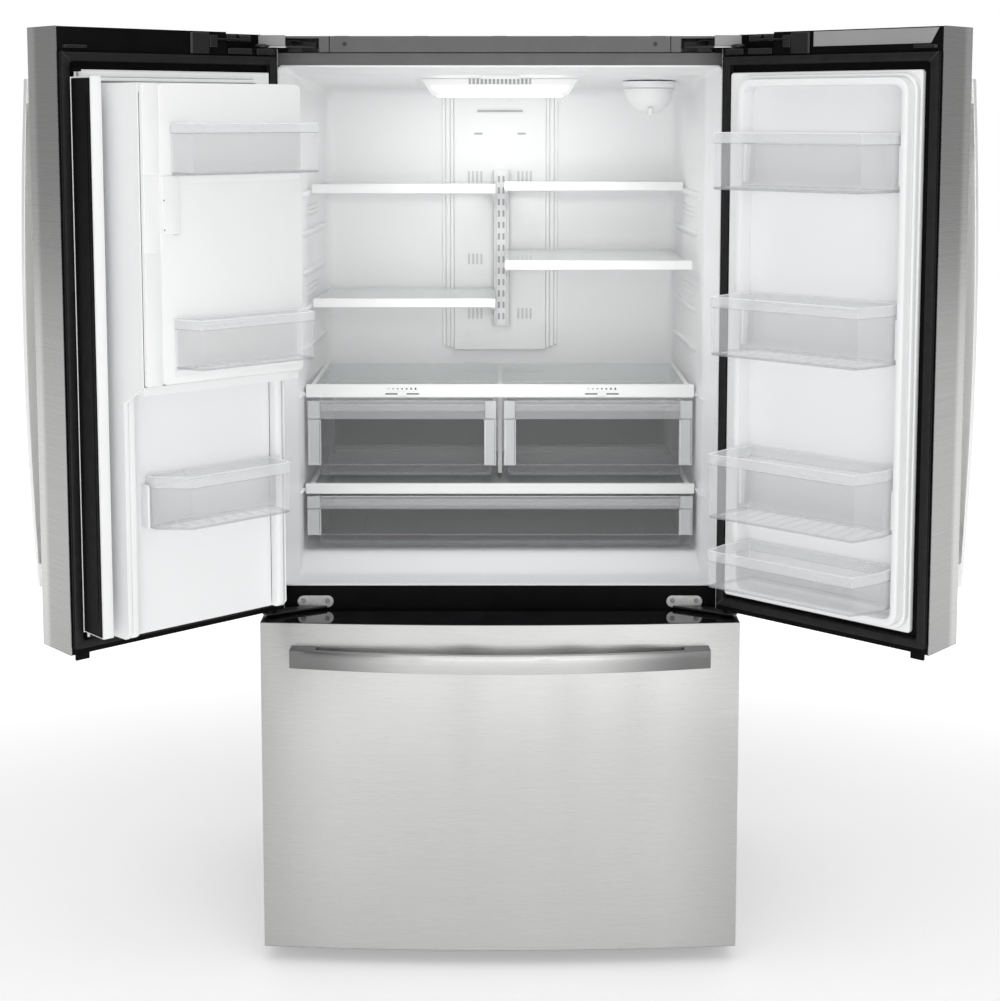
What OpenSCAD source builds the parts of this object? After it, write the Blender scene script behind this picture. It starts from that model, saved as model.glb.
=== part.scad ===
// Bottom-freezer refrigerator with two hinged upper doors, standing open as it is shown.
// Units are millimetres. X is right, Y is back and Z is up, and the floor is Z = 0.
// Cabinet parts are drawn with Y = 0 at the case's front face. Door parts are drawn closed,
// for the left door, and are then swung open. The right door's parts are the same, mirrored.

/* [Frame] */
// how far the case's front face stands behind the middle of the whole object's depth
case_y = -68.2; // [-200:0.1:100]
// angle that the doors stand open at
door_open = 138; // [0:1:138]

/* [Case] */
// overall width of the case, the closed doors and the drawer front
case_w = 908; // [700:1:1000]
// depth of the case from its front face to its back panel
case_d = 610; // [500:1:800]
// height of the case's steel top above the floor
case_z1 = 1742; // [1400:1:1900]
// height of the case's lower edge above the floor
case_z0 = 22; // [10:1:60]
// thickness of the steel outer panels
sheet = 1; // [0.6:0.1:2]
// thickness of the moulded inner liners
liner_t = 2; // [1:0.1:4]

/* [Fresh food compartment] */
// half width of the liner's mouth at the front face
mouth_hx = 418.5; // [380:0.5:440]
// half width inside, just behind the flared mouth
fresh_hx = 396; // [350:1:420]
// half width inside, at the back wall
fresh_back_hx = 380; // [340:1:410]
// height of the mouth's lower edge
mouth_z0 = 719; // [650:0.5:800]
// height of the mouth's upper edge
mouth_z1 = 1716.5; // [1500:0.5:1800]
// height of the compartment's floor behind the mouth
fresh_z0 = 755; // [700:1:850]
// height of the ceiling behind the mouth
fresh_z1 = 1701; // [1500:1:1780]
// depth at which the flare of the mouth ends
flare_y = 80; // [40:1:120]
// depth of the compartment's back wall
fresh_y1 = 520; // [400:1:600]

/* [Freezer compartment] */
// height of the freezer's floor
freezer_z0 = 90; // [60:1:200]
// height of the freezer's ceiling
freezer_z1 = 640; // [500:1:700]
// depth of the freezer's back wall above the machine compartment
freezer_y1 = 500; // [400:1:560]
// depth of the freezer's floor in front of the machine compartment
hump_y = 400; // [300:1:460]

/* [Doors] */
// height of the doors' lower edge
door_z0 = 688; // [600:1:800]
// height of the doors' upper edge
door_z1 = 1775; // [1500:1:1900]
// gap between the case's front face and a closed door's inner face
door_gap = 12; // [6:0.5:20]
// thickness of a door at its hinge edge
door_t = 82; // [50:1:120]
// how far the front bulges at the middle of the appliance
bow = 20; // [0:1:40]
// half of the gap between the two closed doors
half_gap = 3; // [1:0.5:8]
// distance of the hinge pin from the door's hinge edge
pin_in = 12; // [8:0.5:30]
// distance of the hinge pin in front of the door's inner face
pin_out = 33; // [10:0.5:60]
// radius of the hinge pins
pin_r = 6; // [3:0.5:10]
// running clearance round every pin, on the radius
run_gap = 0.05; // [0.01:0.01:0.1]

/* [Freezer drawer] */
// height of the drawer front's lower edge
drawer_z0 = 31.5; // [20:0.5:80]
// height of the drawer front's upper edge
drawer_z1 = 670.5; // [500:0.5:700]

/* [Shelves] */
// thickness of the shelves' glass panes
pane_t = 4; // [3:0.5:8]

/* [Output] */
// which node is drawn, or all of them

/* [Hidden] */
$fn = 48;
half_w = case_w / 2;
bow_r = (half_w * half_w + bow * bow) / (2 * bow);
front_y = -door_gap - door_t - bow;
bow_cy = front_y + bow_r;
inner_y = -door_gap;
pivot = [-half_w + pin_in, inner_y - pin_out];
steel = [0.74, 0.74, 0.75];
dark = [0.16, 0.16, 0.17];
black = [0.06, 0.06, 0.065];
white = [0.93, 0.94, 0.94];
clear_plastic = [0.85, 0.9, 0.92, 0.45];
glass = [0.75, 0.85, 0.85, 0.4];
foam = [0.93, 0.86, 0.6];
zinc = [0.66, 0.67, 0.68];

// ---- shared shapes ----

// a box between two corners
module block(lo, hi) translate(lo) cube(hi - lo);

// a box given from the left door's hinge edge (u), its inner face (p) and the floor (z)
module door_block(u, p, z)
  block([u[0] - half_w, p[0] + inner_y, z[0]], [u[1] - half_w, p[1] + inner_y, z[1]]);

// a round bar along an axis
module rod(at, axis, r, length) {
  turn = axis == "x" ? [0, 90, 0] : axis == "y" ? [-90, 0, 0] : [0, 0, 0];
  translate(at) rotate(turn) cylinder(r = r, h = length);
}

// a rectangle with round corners, by its corners
module round_rect(lo, hi, r) {
  translate([lo[0] + r, lo[1]]) square([hi[0] - lo[0] - 2 * r, hi[1] - lo[1]]);
  translate([lo[0], lo[1] + r]) square([hi[0] - lo[0], hi[1] - lo[1] - 2 * r]);
  for (x = [lo[0] + r, hi[0] - r], y = [lo[1] + r, hi[1] - r])
    translate([x, y]) circle(r = r);
}

// extrudes a drawing of [Y, Z] across the width
module across(x0, x1)
  translate([x0, 0, 0]) rotate([90, 0, 90]) linear_extrude(x1 - x0) children();

// extrudes a drawing of [X, Y] upwards
module upright(z0, z1) translate([0, 0, z0]) linear_extrude(z1 - z0) children();

// extrudes a drawing of [X, Z] backwards
module backward(y0, y1) translate([0, y1, 0]) rotate([90, 0, 0]) linear_extrude(y1 - y0) children();

module on_case() translate([0, case_y, 0]) children();

module on_left_door()
  translate([pivot[0], pivot[1] + case_y, 0]) rotate([0, 0, -door_open])
    translate([-pivot[0], -pivot[1], 0]) children();

module on_right_door() mirror([1, 0, 0]) on_left_door() children();

// a tray: an upright prism with walls and a floor, open at the top
module tray(points, z0, z1, wall, floor_t)
  difference() {
    upright(z0, z1) polygon(points);
    upright(z0 + floor_t, z1 + 1) polygon(inset(points, wall));
  }

// a convex outline moved in by a distance, its corners listed anticlockwise
function inset(points, d) = [
  for (i = [0 : len(points) - 1])
    let (
      n = len(points),
      before = unit(points[i] - points[(i + n - 1) % n]),
      after = unit(points[(i + 1) % n] - points[i]),
      n1 = [-before[1], before[0]],
      n2 = [-after[1], after[0]]
    )
    points[i] + (n1 + n2) * d / (1 + n1 * n2)];
function unit(v) = v / norm(v);

// ---- the cabinet ----

// inner outlines of the fresh food compartment, grown outwards by a wall
function fresh_plan(grow) = [
  [-mouth_hx - grow, front_edge], [-fresh_hx - grow, flare_y], [-fresh_back_hx - grow, fresh_y1 + grow],
  [fresh_back_hx + grow, fresh_y1 + grow], [fresh_hx + grow, flare_y], [mouth_hx + grow, front_edge]];
function fresh_side(grow) = [
  [front_edge, mouth_z0 - grow], [sill_y, mouth_z0 - grow], [sill_flare_y, fresh_z0 - grow],
  [fresh_y1 + grow, fresh_back_z0 - grow], [fresh_y1 + grow, fresh_back_z1 + grow],
  [flare_y, fresh_z1 + grow], [lip_y, mouth_z1 + grow], [front_edge, mouth_z1 + grow]];
front_edge = sheet + 0.2;
lip_y = 30;
// the sill stays low further in, to clear the folded bar of the left door
sill_y = 74;
sill_flare_y = 122;
fresh_back_z0 = fresh_z0 + 3;
fresh_back_z1 = fresh_z1 - 20;

module fresh_space(grow)
  intersection() {
    upright(mouth_z0 - 10, mouth_z1 + 10) polygon(fresh_plan(grow));
    across(-half_w, half_w) polygon(fresh_side(grow));
  }

// outline of the freezer, with the step over the machine compartment
freezer_hx = 395;
step_z = 230;
step_rise = 40;
function freezer_side(grow) = [
  [front_edge, freezer_z0 - grow], [hump_y + grow, freezer_z0 - grow],
  [hump_y + grow, step_z - grow * 0.7], [freezer_y1 + grow, step_z + step_rise - grow * 0.7],
  [freezer_y1 + grow, freezer_z1 + grow], [front_edge, freezer_z1 + grow]];

module freezer_space(grow)
  across(-freezer_hx - grow, freezer_hx + grow) polygon(freezer_side(grow));

// where the machine compartment starts, and its height
machine_y = 440;
machine_z1 = 226;
rail_z0 = freezer_z1 + 4;
rail_z1 = mouth_z0 - liner_t - 0.6;
flange = 33;
fit_gap = 0.4;

module outer_case() color(dark) on_case() {
  for (side = [0, 1]) mirror([side, 0, 0]) {
    block([-half_w, 0, case_z0], [-half_w + sheet, case_d, case_z1]);
    block([-half_w + sheet / 2, 0, case_z0], [-half_w + flange, sheet, case_z1]);
  }
  top_hx = half_w - sheet - 0.1;
  block([-top_hx, 0.1, case_z1 - sheet], [top_hx, case_d - sheet - 0.1, case_z1]);
  block([-half_w + flange + 0.1, 0, mouth_z1 + liner_t + 0.2],
    [half_w - flange - 0.1, sheet, case_z1 - sheet / 2]);
  block([-top_hx, case_d - sheet, machine_z1 + 3], [top_hx, case_d, case_z1 - sheet - 0.1]);
}

module insulation() color(foam) on_case() {
  skin_x = half_w - sheet - fit_gap;
  back_y = case_d - sheet - fit_gap;
  top_z = case_z1 - sheet - fit_gap;
  wall = liner_t + fit_gap;
  start_y = sheet + 0.6;
  cold_x = freezer_hx + wall;
  for (side = [0, 1]) mirror([side, 0, 0]) {
    upright(rail_z1 + fit_gap, top_z)
      polygon([[-skin_x, start_y], [-mouth_hx - wall, start_y], [-fresh_hx - wall, flare_y],
        [-fresh_back_hx - wall, fresh_y1 + wall], [-fresh_back_hx - wall, back_y], [-skin_x, back_y]]);
    block([-skin_x, 4, 62], [-cold_x, machine_y - fit_gap, rail_z1]);
    block([-skin_x, machine_y, machine_z1 + fit_gap], [-cold_x, back_y, rail_z1]);
  }
  mid_x = fresh_back_hx + liner_t;
  across(-mid_x, mid_x)
    polygon([[lip_y + 1, mouth_z1 + wall], [flare_y + 0.5, fresh_z1 + wall],
      [fresh_y1 + liner_t, fresh_back_z1 + wall + 0.1], [fresh_y1 + liner_t, top_z], [lip_y + 1, top_z]]);
  block([-mid_x, fresh_y1 + wall, rail_z0 + fit_gap], [mid_x, back_y, top_z]);
  across(-mid_x, mid_x)
    polygon([[lip_y + 1, rail_z0 + fit_gap], [fresh_y1 + liner_t, rail_z0 + fit_gap],
      [fresh_y1 + liner_t, fresh_back_z0 - wall - 0.2], [sill_flare_y + 1, fresh_z0 - wall - 0.3],
      [sill_y + 1, mouth_z0 - wall - 0.2], [lip_y + 1, mouth_z0 - wall - 0.2]]);
  block([-cold_x + fit_gap, freezer_y1 + wall, step_z + step_rise - 1], [cold_x - fit_gap, back_y, rail_z0]);
  across(-cold_x + fit_gap, cold_x - fit_gap)
    polygon([[hump_y + wall, machine_z1 + fit_gap], [back_y, machine_z1 + fit_gap],
      [back_y, step_z + step_rise - 2], [freezer_y1, step_z + step_rise - 3], [hump_y + wall, step_z - 3]]);
  block([-cold_x + fit_gap, hump_y + wall, 62], [cold_x - fit_gap, machine_y - fit_gap, machine_z1]);
  block([-cold_x + fit_gap, 4, 62], [cold_x - fit_gap, hump_y + liner_t, freezer_z0 - wall]);
}

module fresh_liner() color(white) on_case() {
  difference() {
    fresh_space(liner_t);
    fresh_space(0);
    block([-mouth_hx, -1, mouth_z0], [mouth_hx, front_edge + 0.1, mouth_z1]);
  }
  // ledges that the crisper and deli covers lie on, and the runners under the deli pan
  intersection() {
    fresh_space(liner_t / 2);
    for (side = [0, 1]) mirror([side, 0, 0]) {
      block([-400, 170, crisper_top_z - 20], [-373.5, shelf_y1, crisper_top_z - 10.2]);
      block([-400, 142, deli_top_z - 22], [-373.5, shelf_y1, deli_top_z - 12.2]);
      block([-300, 142, 740], [-288, shelf_y1, 762.8]);
    }
  }
}

module freezer_liner() color(white) on_case() {
  difference() {
    union() {
      freezer_space(liner_t);
      block([-mouth_hx - liner_t, front_edge, 64], [mouth_hx + liner_t, front_edge + liner_t, rail_z0 - 0.5]);
    }
    freezer_space(0);
    block([-freezer_hx, -1, freezer_z0], [freezer_hx, front_edge + 0.1, freezer_z1]);
  }
  // side ledges that guide the drawer's slides
  for (side = [0, 1]) mirror([side, 0, 0])
    block([-freezer_hx - 1, 20, 345], [-slide_x[0] - 2, 440, 385]);
}

module centre_rail() color(black) on_case() {
  rail_x = half_w - flange - 0.3;
  block([-rail_x, 0, rail_z0], [rail_x, 3, rail_z1]);
  block([-freezer_hx, 2, rail_z0], [freezer_hx, lip_y, rail_z1]);
}

// the chassis under the insulation, with its foot bushes and rear roller brackets
foot_x = 415;
foot_y = [62, 576];
foot_r = 18;
stem_r = 5;
roller_x = 360;
roller_y = 540;
roller_r = 20;
roller_z = roller_r + 1.5;
roller_w = 16;
axle_r = 4;
pan_z = 59.5;

module base_frame() color(zinc) on_case() {
  web_x = half_w - sheet - 0.3;
  difference() {
    union() {
      for (side = [0, 1]) mirror([side, 0, 0]) {
        block([-web_x, 30, 23], [-web_x + 2, 606, pan_z + 2]);
        block([-web_x, 30, 23], [-web_x + 60, 606, 25]);
        for (y = foot_y) rod([-foot_x, y, 24], "z", 10, 20);
        for (x = [-roller_x - 13, -roller_x + 11])
          block([x, roller_y - 12, 13], [x + 2, roller_y + 12, 34]);
        rod([-roller_x - 13, roller_y, roller_z], "x", axle_r, 26);
      }
      block([-web_x, 30, pan_z], [web_x, machine_y - 2, pan_z + 2]);
      block([-web_x, machine_y - 4, 23], [web_x, machine_y - 2, pan_z + 2]);
      block([-web_x, machine_y - 4, 23], [web_x, 606, 25]);
      block([-web_x, 30, 23], [web_x, 32, pan_z + 2]);
    }
    for (side = [0, 1]) mirror([side, 0, 0]) {
      for (y = foot_y) rod([-foot_x, y, 20], "z", stem_r + 0.1, 30);
      difference() {
        block([-roller_x - 11, roller_y - 25, 20], [-roller_x + 11, roller_y + 25, 28]);
        rod([-roller_x - 13, roller_y, roller_z], "x", axle_r, 26);
      }
    }
  }
}

module kick_grille() color(black) on_case()
  difference() {
    block([-440, 22, 8], [440, 26, 57]);
    for (z = [16 : 10 : 46], x = [-418 : 76 : 342]) block([x, 21, z], [x + 68, 27, z + 5]);
  }

module leveling_feet() color(dark) on_case()
  for (x = [-foot_x, foot_x], y = foot_y) translate([x, y, 0]) {
    cylinder(r = foot_r, h = 6);
    translate([0, 0, 6]) cylinder(r1 = foot_r - 3, r2 = 8, h = 5);
    translate([0, 0, 10]) cylinder(r = stem_r, h = 40);
  }

module roller(side) on_case()
  difference() {
    translate([side * roller_x - roller_w / 2, roller_y, roller_z]) rotate([0, 90, 0])
      cylinder(r = roller_r, h = roller_w);
    rod([side * roller_x - roller_w, roller_y, roller_z], "x", axle_r + run_gap, 2 * roller_w);
  }
module roller_left() color(dark) roller(-1);
module roller_right() color(dark) roller(1);

// ---- hinges ----

cover_y1 = 72;
cover_z1 = 1773;
arm_z = 1750;
arm_t = 4;
slot_x = [341, 432];
screw_x = 292;

module hinge_cover() color(dark) on_case() {
  cover_x = half_w - sheet;
  difference() {
    block([-cover_x, -2, case_z1 + 0.2], [cover_x, cover_y1, cover_z1]);
    block([-cover_x + 2, 0, case_z1], [cover_x - 2, cover_y1 - 2, cover_z1 - 2]);
    for (side = [0, 1]) mirror([side, 0, 0])
      block([slot_x[0], -3, case_z1], [slot_x[1], 1, cover_z1 - 5]);
  }
}

module top_hinge() {
  boss_r = 14;
  difference() {
    union() {
      block([-400, 8, case_z1 + 0.2], [-338, 62, arm_z + arm_t]);
      upright(arm_z, arm_z + arm_t)
        polygon([[-400, 40], [-338, 8], [pivot[0] + 10, pivot[1] - 10], [pivot[0] - 10, pivot[1] + 10]]);
      rod([pivot[0], pivot[1], arm_z], "z", boss_r, arm_t);
      rod([pivot[0], pivot[1], arm_z - 28], "z", pin_r, 30);
    }
    for (x = [-385, -353]) rod([x, 46, case_z1], "z", 3.2, 20);
  }
}
module top_hinges() color(zinc) on_case() {
  top_hinge();
  mirror([1, 0, 0]) top_hinge();
}

mid_arm_z = 674;
module middle_hinge() {
  block([-393, -3, mid_arm_z], [-323, 0, mid_arm_z + 23.5]);
  upright(mid_arm_z, mid_arm_z + arm_t)
    polygon([[-393, 0], [-323, 0], [pivot[0] + 9, pivot[1] - 11], [pivot[0] - 11, pivot[1] + 9]]);
  rod([pivot[0], pivot[1], mid_arm_z], "z", 14, arm_t);
  rod([pivot[0], pivot[1], mid_arm_z], "z", 9, door_z0 - mid_arm_z - 0.5);
  rod([pivot[0], pivot[1], mid_arm_z], "z", pin_r, 34);
}
module middle_hinges() color(zinc) on_case() {
  middle_hinge();
  mirror([1, 0, 0]) middle_hinge();
}

module hinge_screws() color(steel) on_case()
  for (side = [0, 1]) mirror([side, 0, 0]) {
    for (x = [-381, -335]) rod([x, -5.2, mid_arm_z + 14], "y", 5, 2.2);
    rod([-screw_x, -4, 1758], "y", 5, 2);
    for (x = [-385, -353]) rod([x, 46, arm_z + arm_t], "z", 6, 3);
  }

// ---- inside the fresh food compartment ----

// the space below the sloping ceiling
module below_ceiling()
  across(-370, 370)
    polygon([[lip_y, 1500], [fresh_y1 - 2, 1500], [fresh_y1 - 2, fresh_back_z1 - 0.3],
      [flare_y, fresh_z1 - 0.4], [lip_y, mouth_z1 - 0.6]]);

filter_at = [301, 250];
filter_r = 50;
filter_z = 1677;
lamp_y = [168, 318];
lamp_z0 = 1664;
// the block that turns the folding bar as the left door closes
guide_hx = 38;
guide_y = [74, 112];
guide_z0 = 1683.5;

module ceiling_fittings() color(white) on_case() {
  intersection() {
    below_ceiling();
    difference() {
      backward(lamp_y[0], lamp_y[1])
        polygon([[-156, fresh_z1], [-136, lamp_z0], [136, lamp_z0], [156, fresh_z1]]);
      block([-126, lamp_y[0] + 12, lamp_z0 - 1], [126, lamp_y[1] - 12, lamp_z0 + 14]);
    }
  }
  intersection() {
    below_ceiling();
    block([-guide_hx, guide_y[0], guide_z0], [guide_hx, guide_y[1], 1720]);
  }
  difference() {
    translate([filter_at[0], filter_at[1], filter_z + 6]) cylinder(r = filter_r + 5, h = 7);
    rod([filter_at[0], filter_at[1], filter_z], "z", 20 + run_gap, 30);
  }
}

module light_lens() color([1, 1, 0.97]) on_case()
  block([-125.5, lamp_y[0] + 12.5, lamp_z0 - 2], [125.5, lamp_y[1] - 12.5, lamp_z0 + 3]);

module water_filter() color(white) on_case() translate([filter_at[0], filter_at[1], filter_z]) {
  intersection() {
    sphere(r = filter_r);
    translate([0, 0, -filter_r]) cylinder(r = filter_r + 1, h = filter_r + 5.5);
  }
  cylinder(r = 20, h = 11);
}

tower_y = 508;
module air_tower() color(white) on_case()
  difference() {
    block([-126, tower_y, 1112], [126, fresh_y1 - 0.3, fresh_back_z1 - 1]);
    block([-50, tower_y - 1, 1640], [52, tower_y + 6, 1650]);
    for (x = [-96, 60]) block([x, tower_y - 1, 1592], [x + 36, tower_y + 6, 1600]);
    for (z = [1150 : 90 : 1510]) block([-110, tower_y - 1, z], [-60, tower_y + 6, z + 8]);
  }

// each shelf: its left and right ends, its front edge, and the height of its top
SHELVES = [[-375, -9, 226, 1483], [-375, -9, 226, 1251], [9, 375, 132, 1336], [9, 375, 332, 1484]];
shelf_y1 = 492;

module shelf_frames() color(white) on_case()
  for (s = SHELVES)
    difference() {
      union() {
        block([s[0] - (s[0] < 0 ? 6 : 0), s[2], s[3] - 16], [s[1] + (s[0] > 0 ? 6 : 0), s[2] + 12, s[3]]);
        block([s[0], s[2] + 6, s[3] - 8], [s[1], shelf_y1, s[3]]);
      }
      block([s[0] + 8, s[2] + 12, s[3] - 5.2], [s[1] - 8, shelf_y1 - 8, s[3] + 1]);
      block([s[0] + 14, s[2] + 18, s[3] - 20], [s[1] - 14, shelf_y1 - 14, s[3] + 1]);
    }

module shelf_panes() color(glass) on_case()
  for (s = SHELVES)
    block([s[0] + 8.2, s[2] + 12.2, s[3] - 5], [s[1] - 8.2, shelf_y1 - 8.2, s[3] - 5 + pane_t]);

ladder_y = [496, tower_y - 0.3];
ladder_x = [-7, 19];
ladder_z = [1166, 1506];
slot_pitch = 24;
rest_top = 8.5; // how far a shelf's ledge is below its top
rest_h = 13;
rest_x = 366;
function side_wall_x(y) =
  fresh_hx - (y - flare_y) * (fresh_hx - fresh_back_hx) / (fresh_y1 - flare_y) - 0.3;
module shelf_supports() color(zinc) on_case() {
  // the slotted track up the middle of the back wall
  difference() {
    block([ladder_x[0], ladder_y[0], ladder_z[0]], [ladder_x[1], ladder_y[1], ladder_z[1]]);
    for (z = [ladder_z[0] + 20 : slot_pitch : ladder_z[1] - 20])
      block([ladder_x[0] + 7, ladder_y[0] - 1, z], [ladder_x[0] + 11, ladder_y[0] + 6, z + slot_pitch / 2]);
  }
  // an arm from the track under each shelf's inner side, and a ledge on the side wall under its outer side
  for (s = SHELVES) {
    left = s[0] < 0;
    inner_x = left ? s[1] - 7 : s[0] + 4;
    across(inner_x, inner_x + 3)
      polygon([[s[2] + 20, s[3] - 20], [s[2] + 20, s[3] - rest_top], [ladder_y[0] - 0.2, s[3] - rest_top],
        [ladder_y[0] - 0.2, s[3] - 60], [ladder_y[0] - 60, s[3] - 42]]);
    mirror([left ? 1 : 0, 0, 0]) upright(s[3] - rest_top - rest_h, s[3] - rest_top)
      polygon([[rest_x, s[2] + 20], [side_wall_x(s[2] + 20), s[2] + 20], [side_wall_x(shelf_y1), shelf_y1],
        [rest_x, shelf_y1]]);
  }
}

crisper_top_z = 1089;
crisper_y = 148;
cover_x = 389;
bin_hx = 386;
box_hx = 372;
slider_x = [-196, 204];
slider_z = 1074;

module crisper_cover() color(white) on_case() {
  difference() {
    block([-cover_x, crisper_y, crisper_top_z - 27], [cover_x, crisper_y + 16, crisper_top_z]);
    for (x = slider_x) block([x - 30, crisper_y - 1, slider_z - 2], [x + 30, crisper_y + 5, slider_z + 2]);
  }
  difference() {
    block([-376, crisper_y + 15, crisper_top_z - 10], [376, shelf_y1, crisper_top_z - 1]);
    block([-362, crisper_y + 30, crisper_top_z - 11], [362, shelf_y1 - 14, crisper_top_z - 5]);
  }
  block([-4, crisper_y + 60, 897], [4, shelf_y1 - 4, crisper_top_z - 5]);
}

module humidity_slider(x) on_case() {
  block([x - 9, crisper_y - 4, slider_z - 5], [x + 9, crisper_y - 0.3, slider_z + 5]);
  block([x - 3, crisper_y - 1, slider_z - 1.6], [x + 3, crisper_y + 4.5, slider_z + 1.6]);
}
module humidity_slider_left() color(white) humidity_slider(slider_x[0]);
module humidity_slider_right() color(white) humidity_slider(slider_x[1]);

deli_y = 124;
deli_top_z = 892;
module deli_cover() color(white) on_case() {
  block([-cover_x, deli_y, deli_top_z - 21], [cover_x, deli_y + 14, deli_top_z]);
  block([-376, deli_y + 13, deli_top_z - 12], [376, shelf_y1, deli_top_z - 3]);
}

crisper_wall = 3;
crisper_z = [898, 1046];
module crisper_left() color(clear_plastic) on_case() {
  block([-bin_hx, crisper_y + 4, 904], [-8, crisper_y + 9, 1055]);
  tray([[-box_hx, crisper_y + 8], [-10, crisper_y + 8], [-10, 480], [-box_hx, 480]],
    crisper_z[0], crisper_z[1], crisper_wall, crisper_wall);
}
module crisper_right() color(clear_plastic) mirror([1, 0, 0]) on_case() {
  block([-bin_hx, crisper_y + 4, 904], [-8, crisper_y + 9, 1055]);
  tray([[-box_hx, crisper_y + 8], [-10, crisper_y + 8], [-10, 480], [-box_hx, 480]],
    crisper_z[0], crisper_z[1], crisper_wall, crisper_wall);
}

module deli_pan() color(clear_plastic) on_case() {
  block([-bin_hx, deli_y + 2, 767], [bin_hx, deli_y + 7, 866]);
  tray([[-box_hx, deli_y + 6], [box_hx, deli_y + 6], [box_hx, 486], [-box_hx, 486]],
    763, 858, crisper_wall, crisper_wall);
}

// ---- machine compartment and freezer fittings ----

fan_at = [-60, 528, 116];
fan_r = 50;
shaft_r = 3;
compressor_at = [-250, 526];
compressor_r = 78;

module machinery() color(black) on_case() {
  translate([compressor_at[0], compressor_at[1], 0]) {
    translate([0, 0, 46]) cylinder(r = compressor_r, h = 112);
    translate([0, 0, 157]) cylinder(r1 = compressor_r, r2 = compressor_r - 24, h = 22);
    for (a = [45 : 90 : 315]) rotate(a) translate([compressor_r - 16, 0, 25]) cylinder(r = 9, h = 22);
  }
  for (x = [60 : 14 : 298]) block([x, 470, 60], [x + 2, 590, 196]);
  for (y = [492, 528, 564], z = [84, 128, 172]) rod([52, y, z], "x", 4, 256);
  for (x = [56, 300]) block([x, 470, 25], [x + 4, 590, 200]);
  difference() {
    block([-84, 466, 25], [-80, 590, 208]);
    rod([-90, fan_at[1], fan_at[2]], "x", fan_r + 5, 20);
  }
  rod([-112, fan_at[1], fan_at[2]], "x", 20, 26);
  block([-112, 466, fan_at[2] - 5], [-104, 590, fan_at[2] + 5]);
  for (y = [466, 584]) block([-112, y, fan_at[2] - 5], [-80, y + 6, fan_at[2] + 5]);
  rod([-90, fan_at[1], fan_at[2]], "x", shaft_r, 42);
}

module condenser_fan() color(black) on_case()
  translate(fan_at) rotate([0, 90, 0])
    difference() {
      union() {
        translate([0, 0, -10]) cylinder(r = 15, h = 18);
        for (a = [0 : 72 : 288]) rotate(a)
          translate([32, 0, 0]) rotate([28, 0, 0]) cube([36, 26, 1.6], center = true);
      }
      translate([0, 0, -20]) cylinder(r = shaft_r + run_gap, h = 40);
    }

module rear_cover() color(zinc) on_case()
  difference() {
    block([-450, case_d - sheet, 28], [450, case_d, machine_z1 + 2]);
    for (x = [-400 : 40 : 380], z = [60, 120]) block([x, case_d - 2, z], [x + 24, case_d + 1, z + 40]);
    for (x = [-430, 426]) rod([x, case_d - 2, 40], "y", 2.5, 4);
  }

module evaporator_cover() color(white) on_case()
  difference() {
    block([-380, 488, 284], [380, freezer_y1 - 0.5, 632]);
    for (x = [-240 : 60 : 180]) block([x, 487, 580], [x + 44, 494, 588]);
    for (x = [-240 : 60 : 180]) block([x, 487, 300], [x + 44, 494, 308]);
  }

// ---- doors, drawn closed, on the left ----

skin = 1.2;
cap_z = [712, 1733.2];
notch_z = arm_z - 3;
bore_r = pin_r + run_gap;
liner_u = [25.5, 418.5];
liner_z = [723.5, 1702.4];
liner_p = 8;
seal_p = door_gap - fit_gap;
door_hx = [-half_w, -half_gap];

module front_plan(x0, x1, margin, back_y)
  intersection() {
    translate([x0 + margin, front_y - 5]) square([x1 - x0 - 2 * margin, back_y - front_y + 5]);
    translate([0, bow_cy]) circle(r = bow_r - margin, $fn = 720);
  }

// the room in a door's top corner for the top hinge's arm
module hinge_notch() door_block([-2, 112], [-54, 2], [notch_z, door_z1 + 1]);

module door_shell()
  difference() {
    upright(door_z0, door_z1) front_plan(door_hx[0], door_hx[1], 0, inner_y);
    upright(door_z0 - 1, door_z1 + 1) front_plan(door_hx[0], door_hx[1], skin, inner_y + 1);
    hinge_notch();
  }

module door_core()
  difference() {
    upright(cap_z[0] + 0.4, cap_z[1] - 0.4) front_plan(door_hx[0], door_hx[1], skin + 0.3, inner_y - 3.6);
    rod([pivot[0], pivot[1], arm_z - 30], "z", bore_r, 60);
  }

module door_frame()
  difference() {
    union() {
      upright(door_z0 + 0.6, cap_z[0]) front_plan(door_hx[0], door_hx[1], skin + 0.2, inner_y);
      upright(cap_z[1], door_z1 - 0.6) front_plan(door_hx[0], door_hx[1], skin + 0.2, inner_y);
      door_block([skin + 0.2, half_w - half_gap - skin - 0.2], [-3.2, 0], [cap_z[0] + 0.2, cap_z[1] - 0.2]);
    }
    door_block([40, 405], [-4, 1], [740, 1690]);
    hinge_notch();
    rod([pivot[0], pivot[1], arm_z - 30], "z", bore_r, 60);
    rod([pivot[0], pivot[1], door_z0 - 1], "z", bore_r, 24);
  }

module door_gasket()
  difference() {
    door_block([10, 447], [0.1, seal_p], [700, 1732]);
    door_block([liner_u[0] - 0.4, liner_u[1] + 0.4], [-1, 20], [liner_z[0] - 0.4, liner_z[1] + 0.4]);
  }

handle_u = [411, 441];
handle_z = [784, 1688];
handle_out = [35, 65];
handle_t = 11;
function sagitta_r(half, rise) = (half * half + rise * rise) / (2 * rise);

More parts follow.
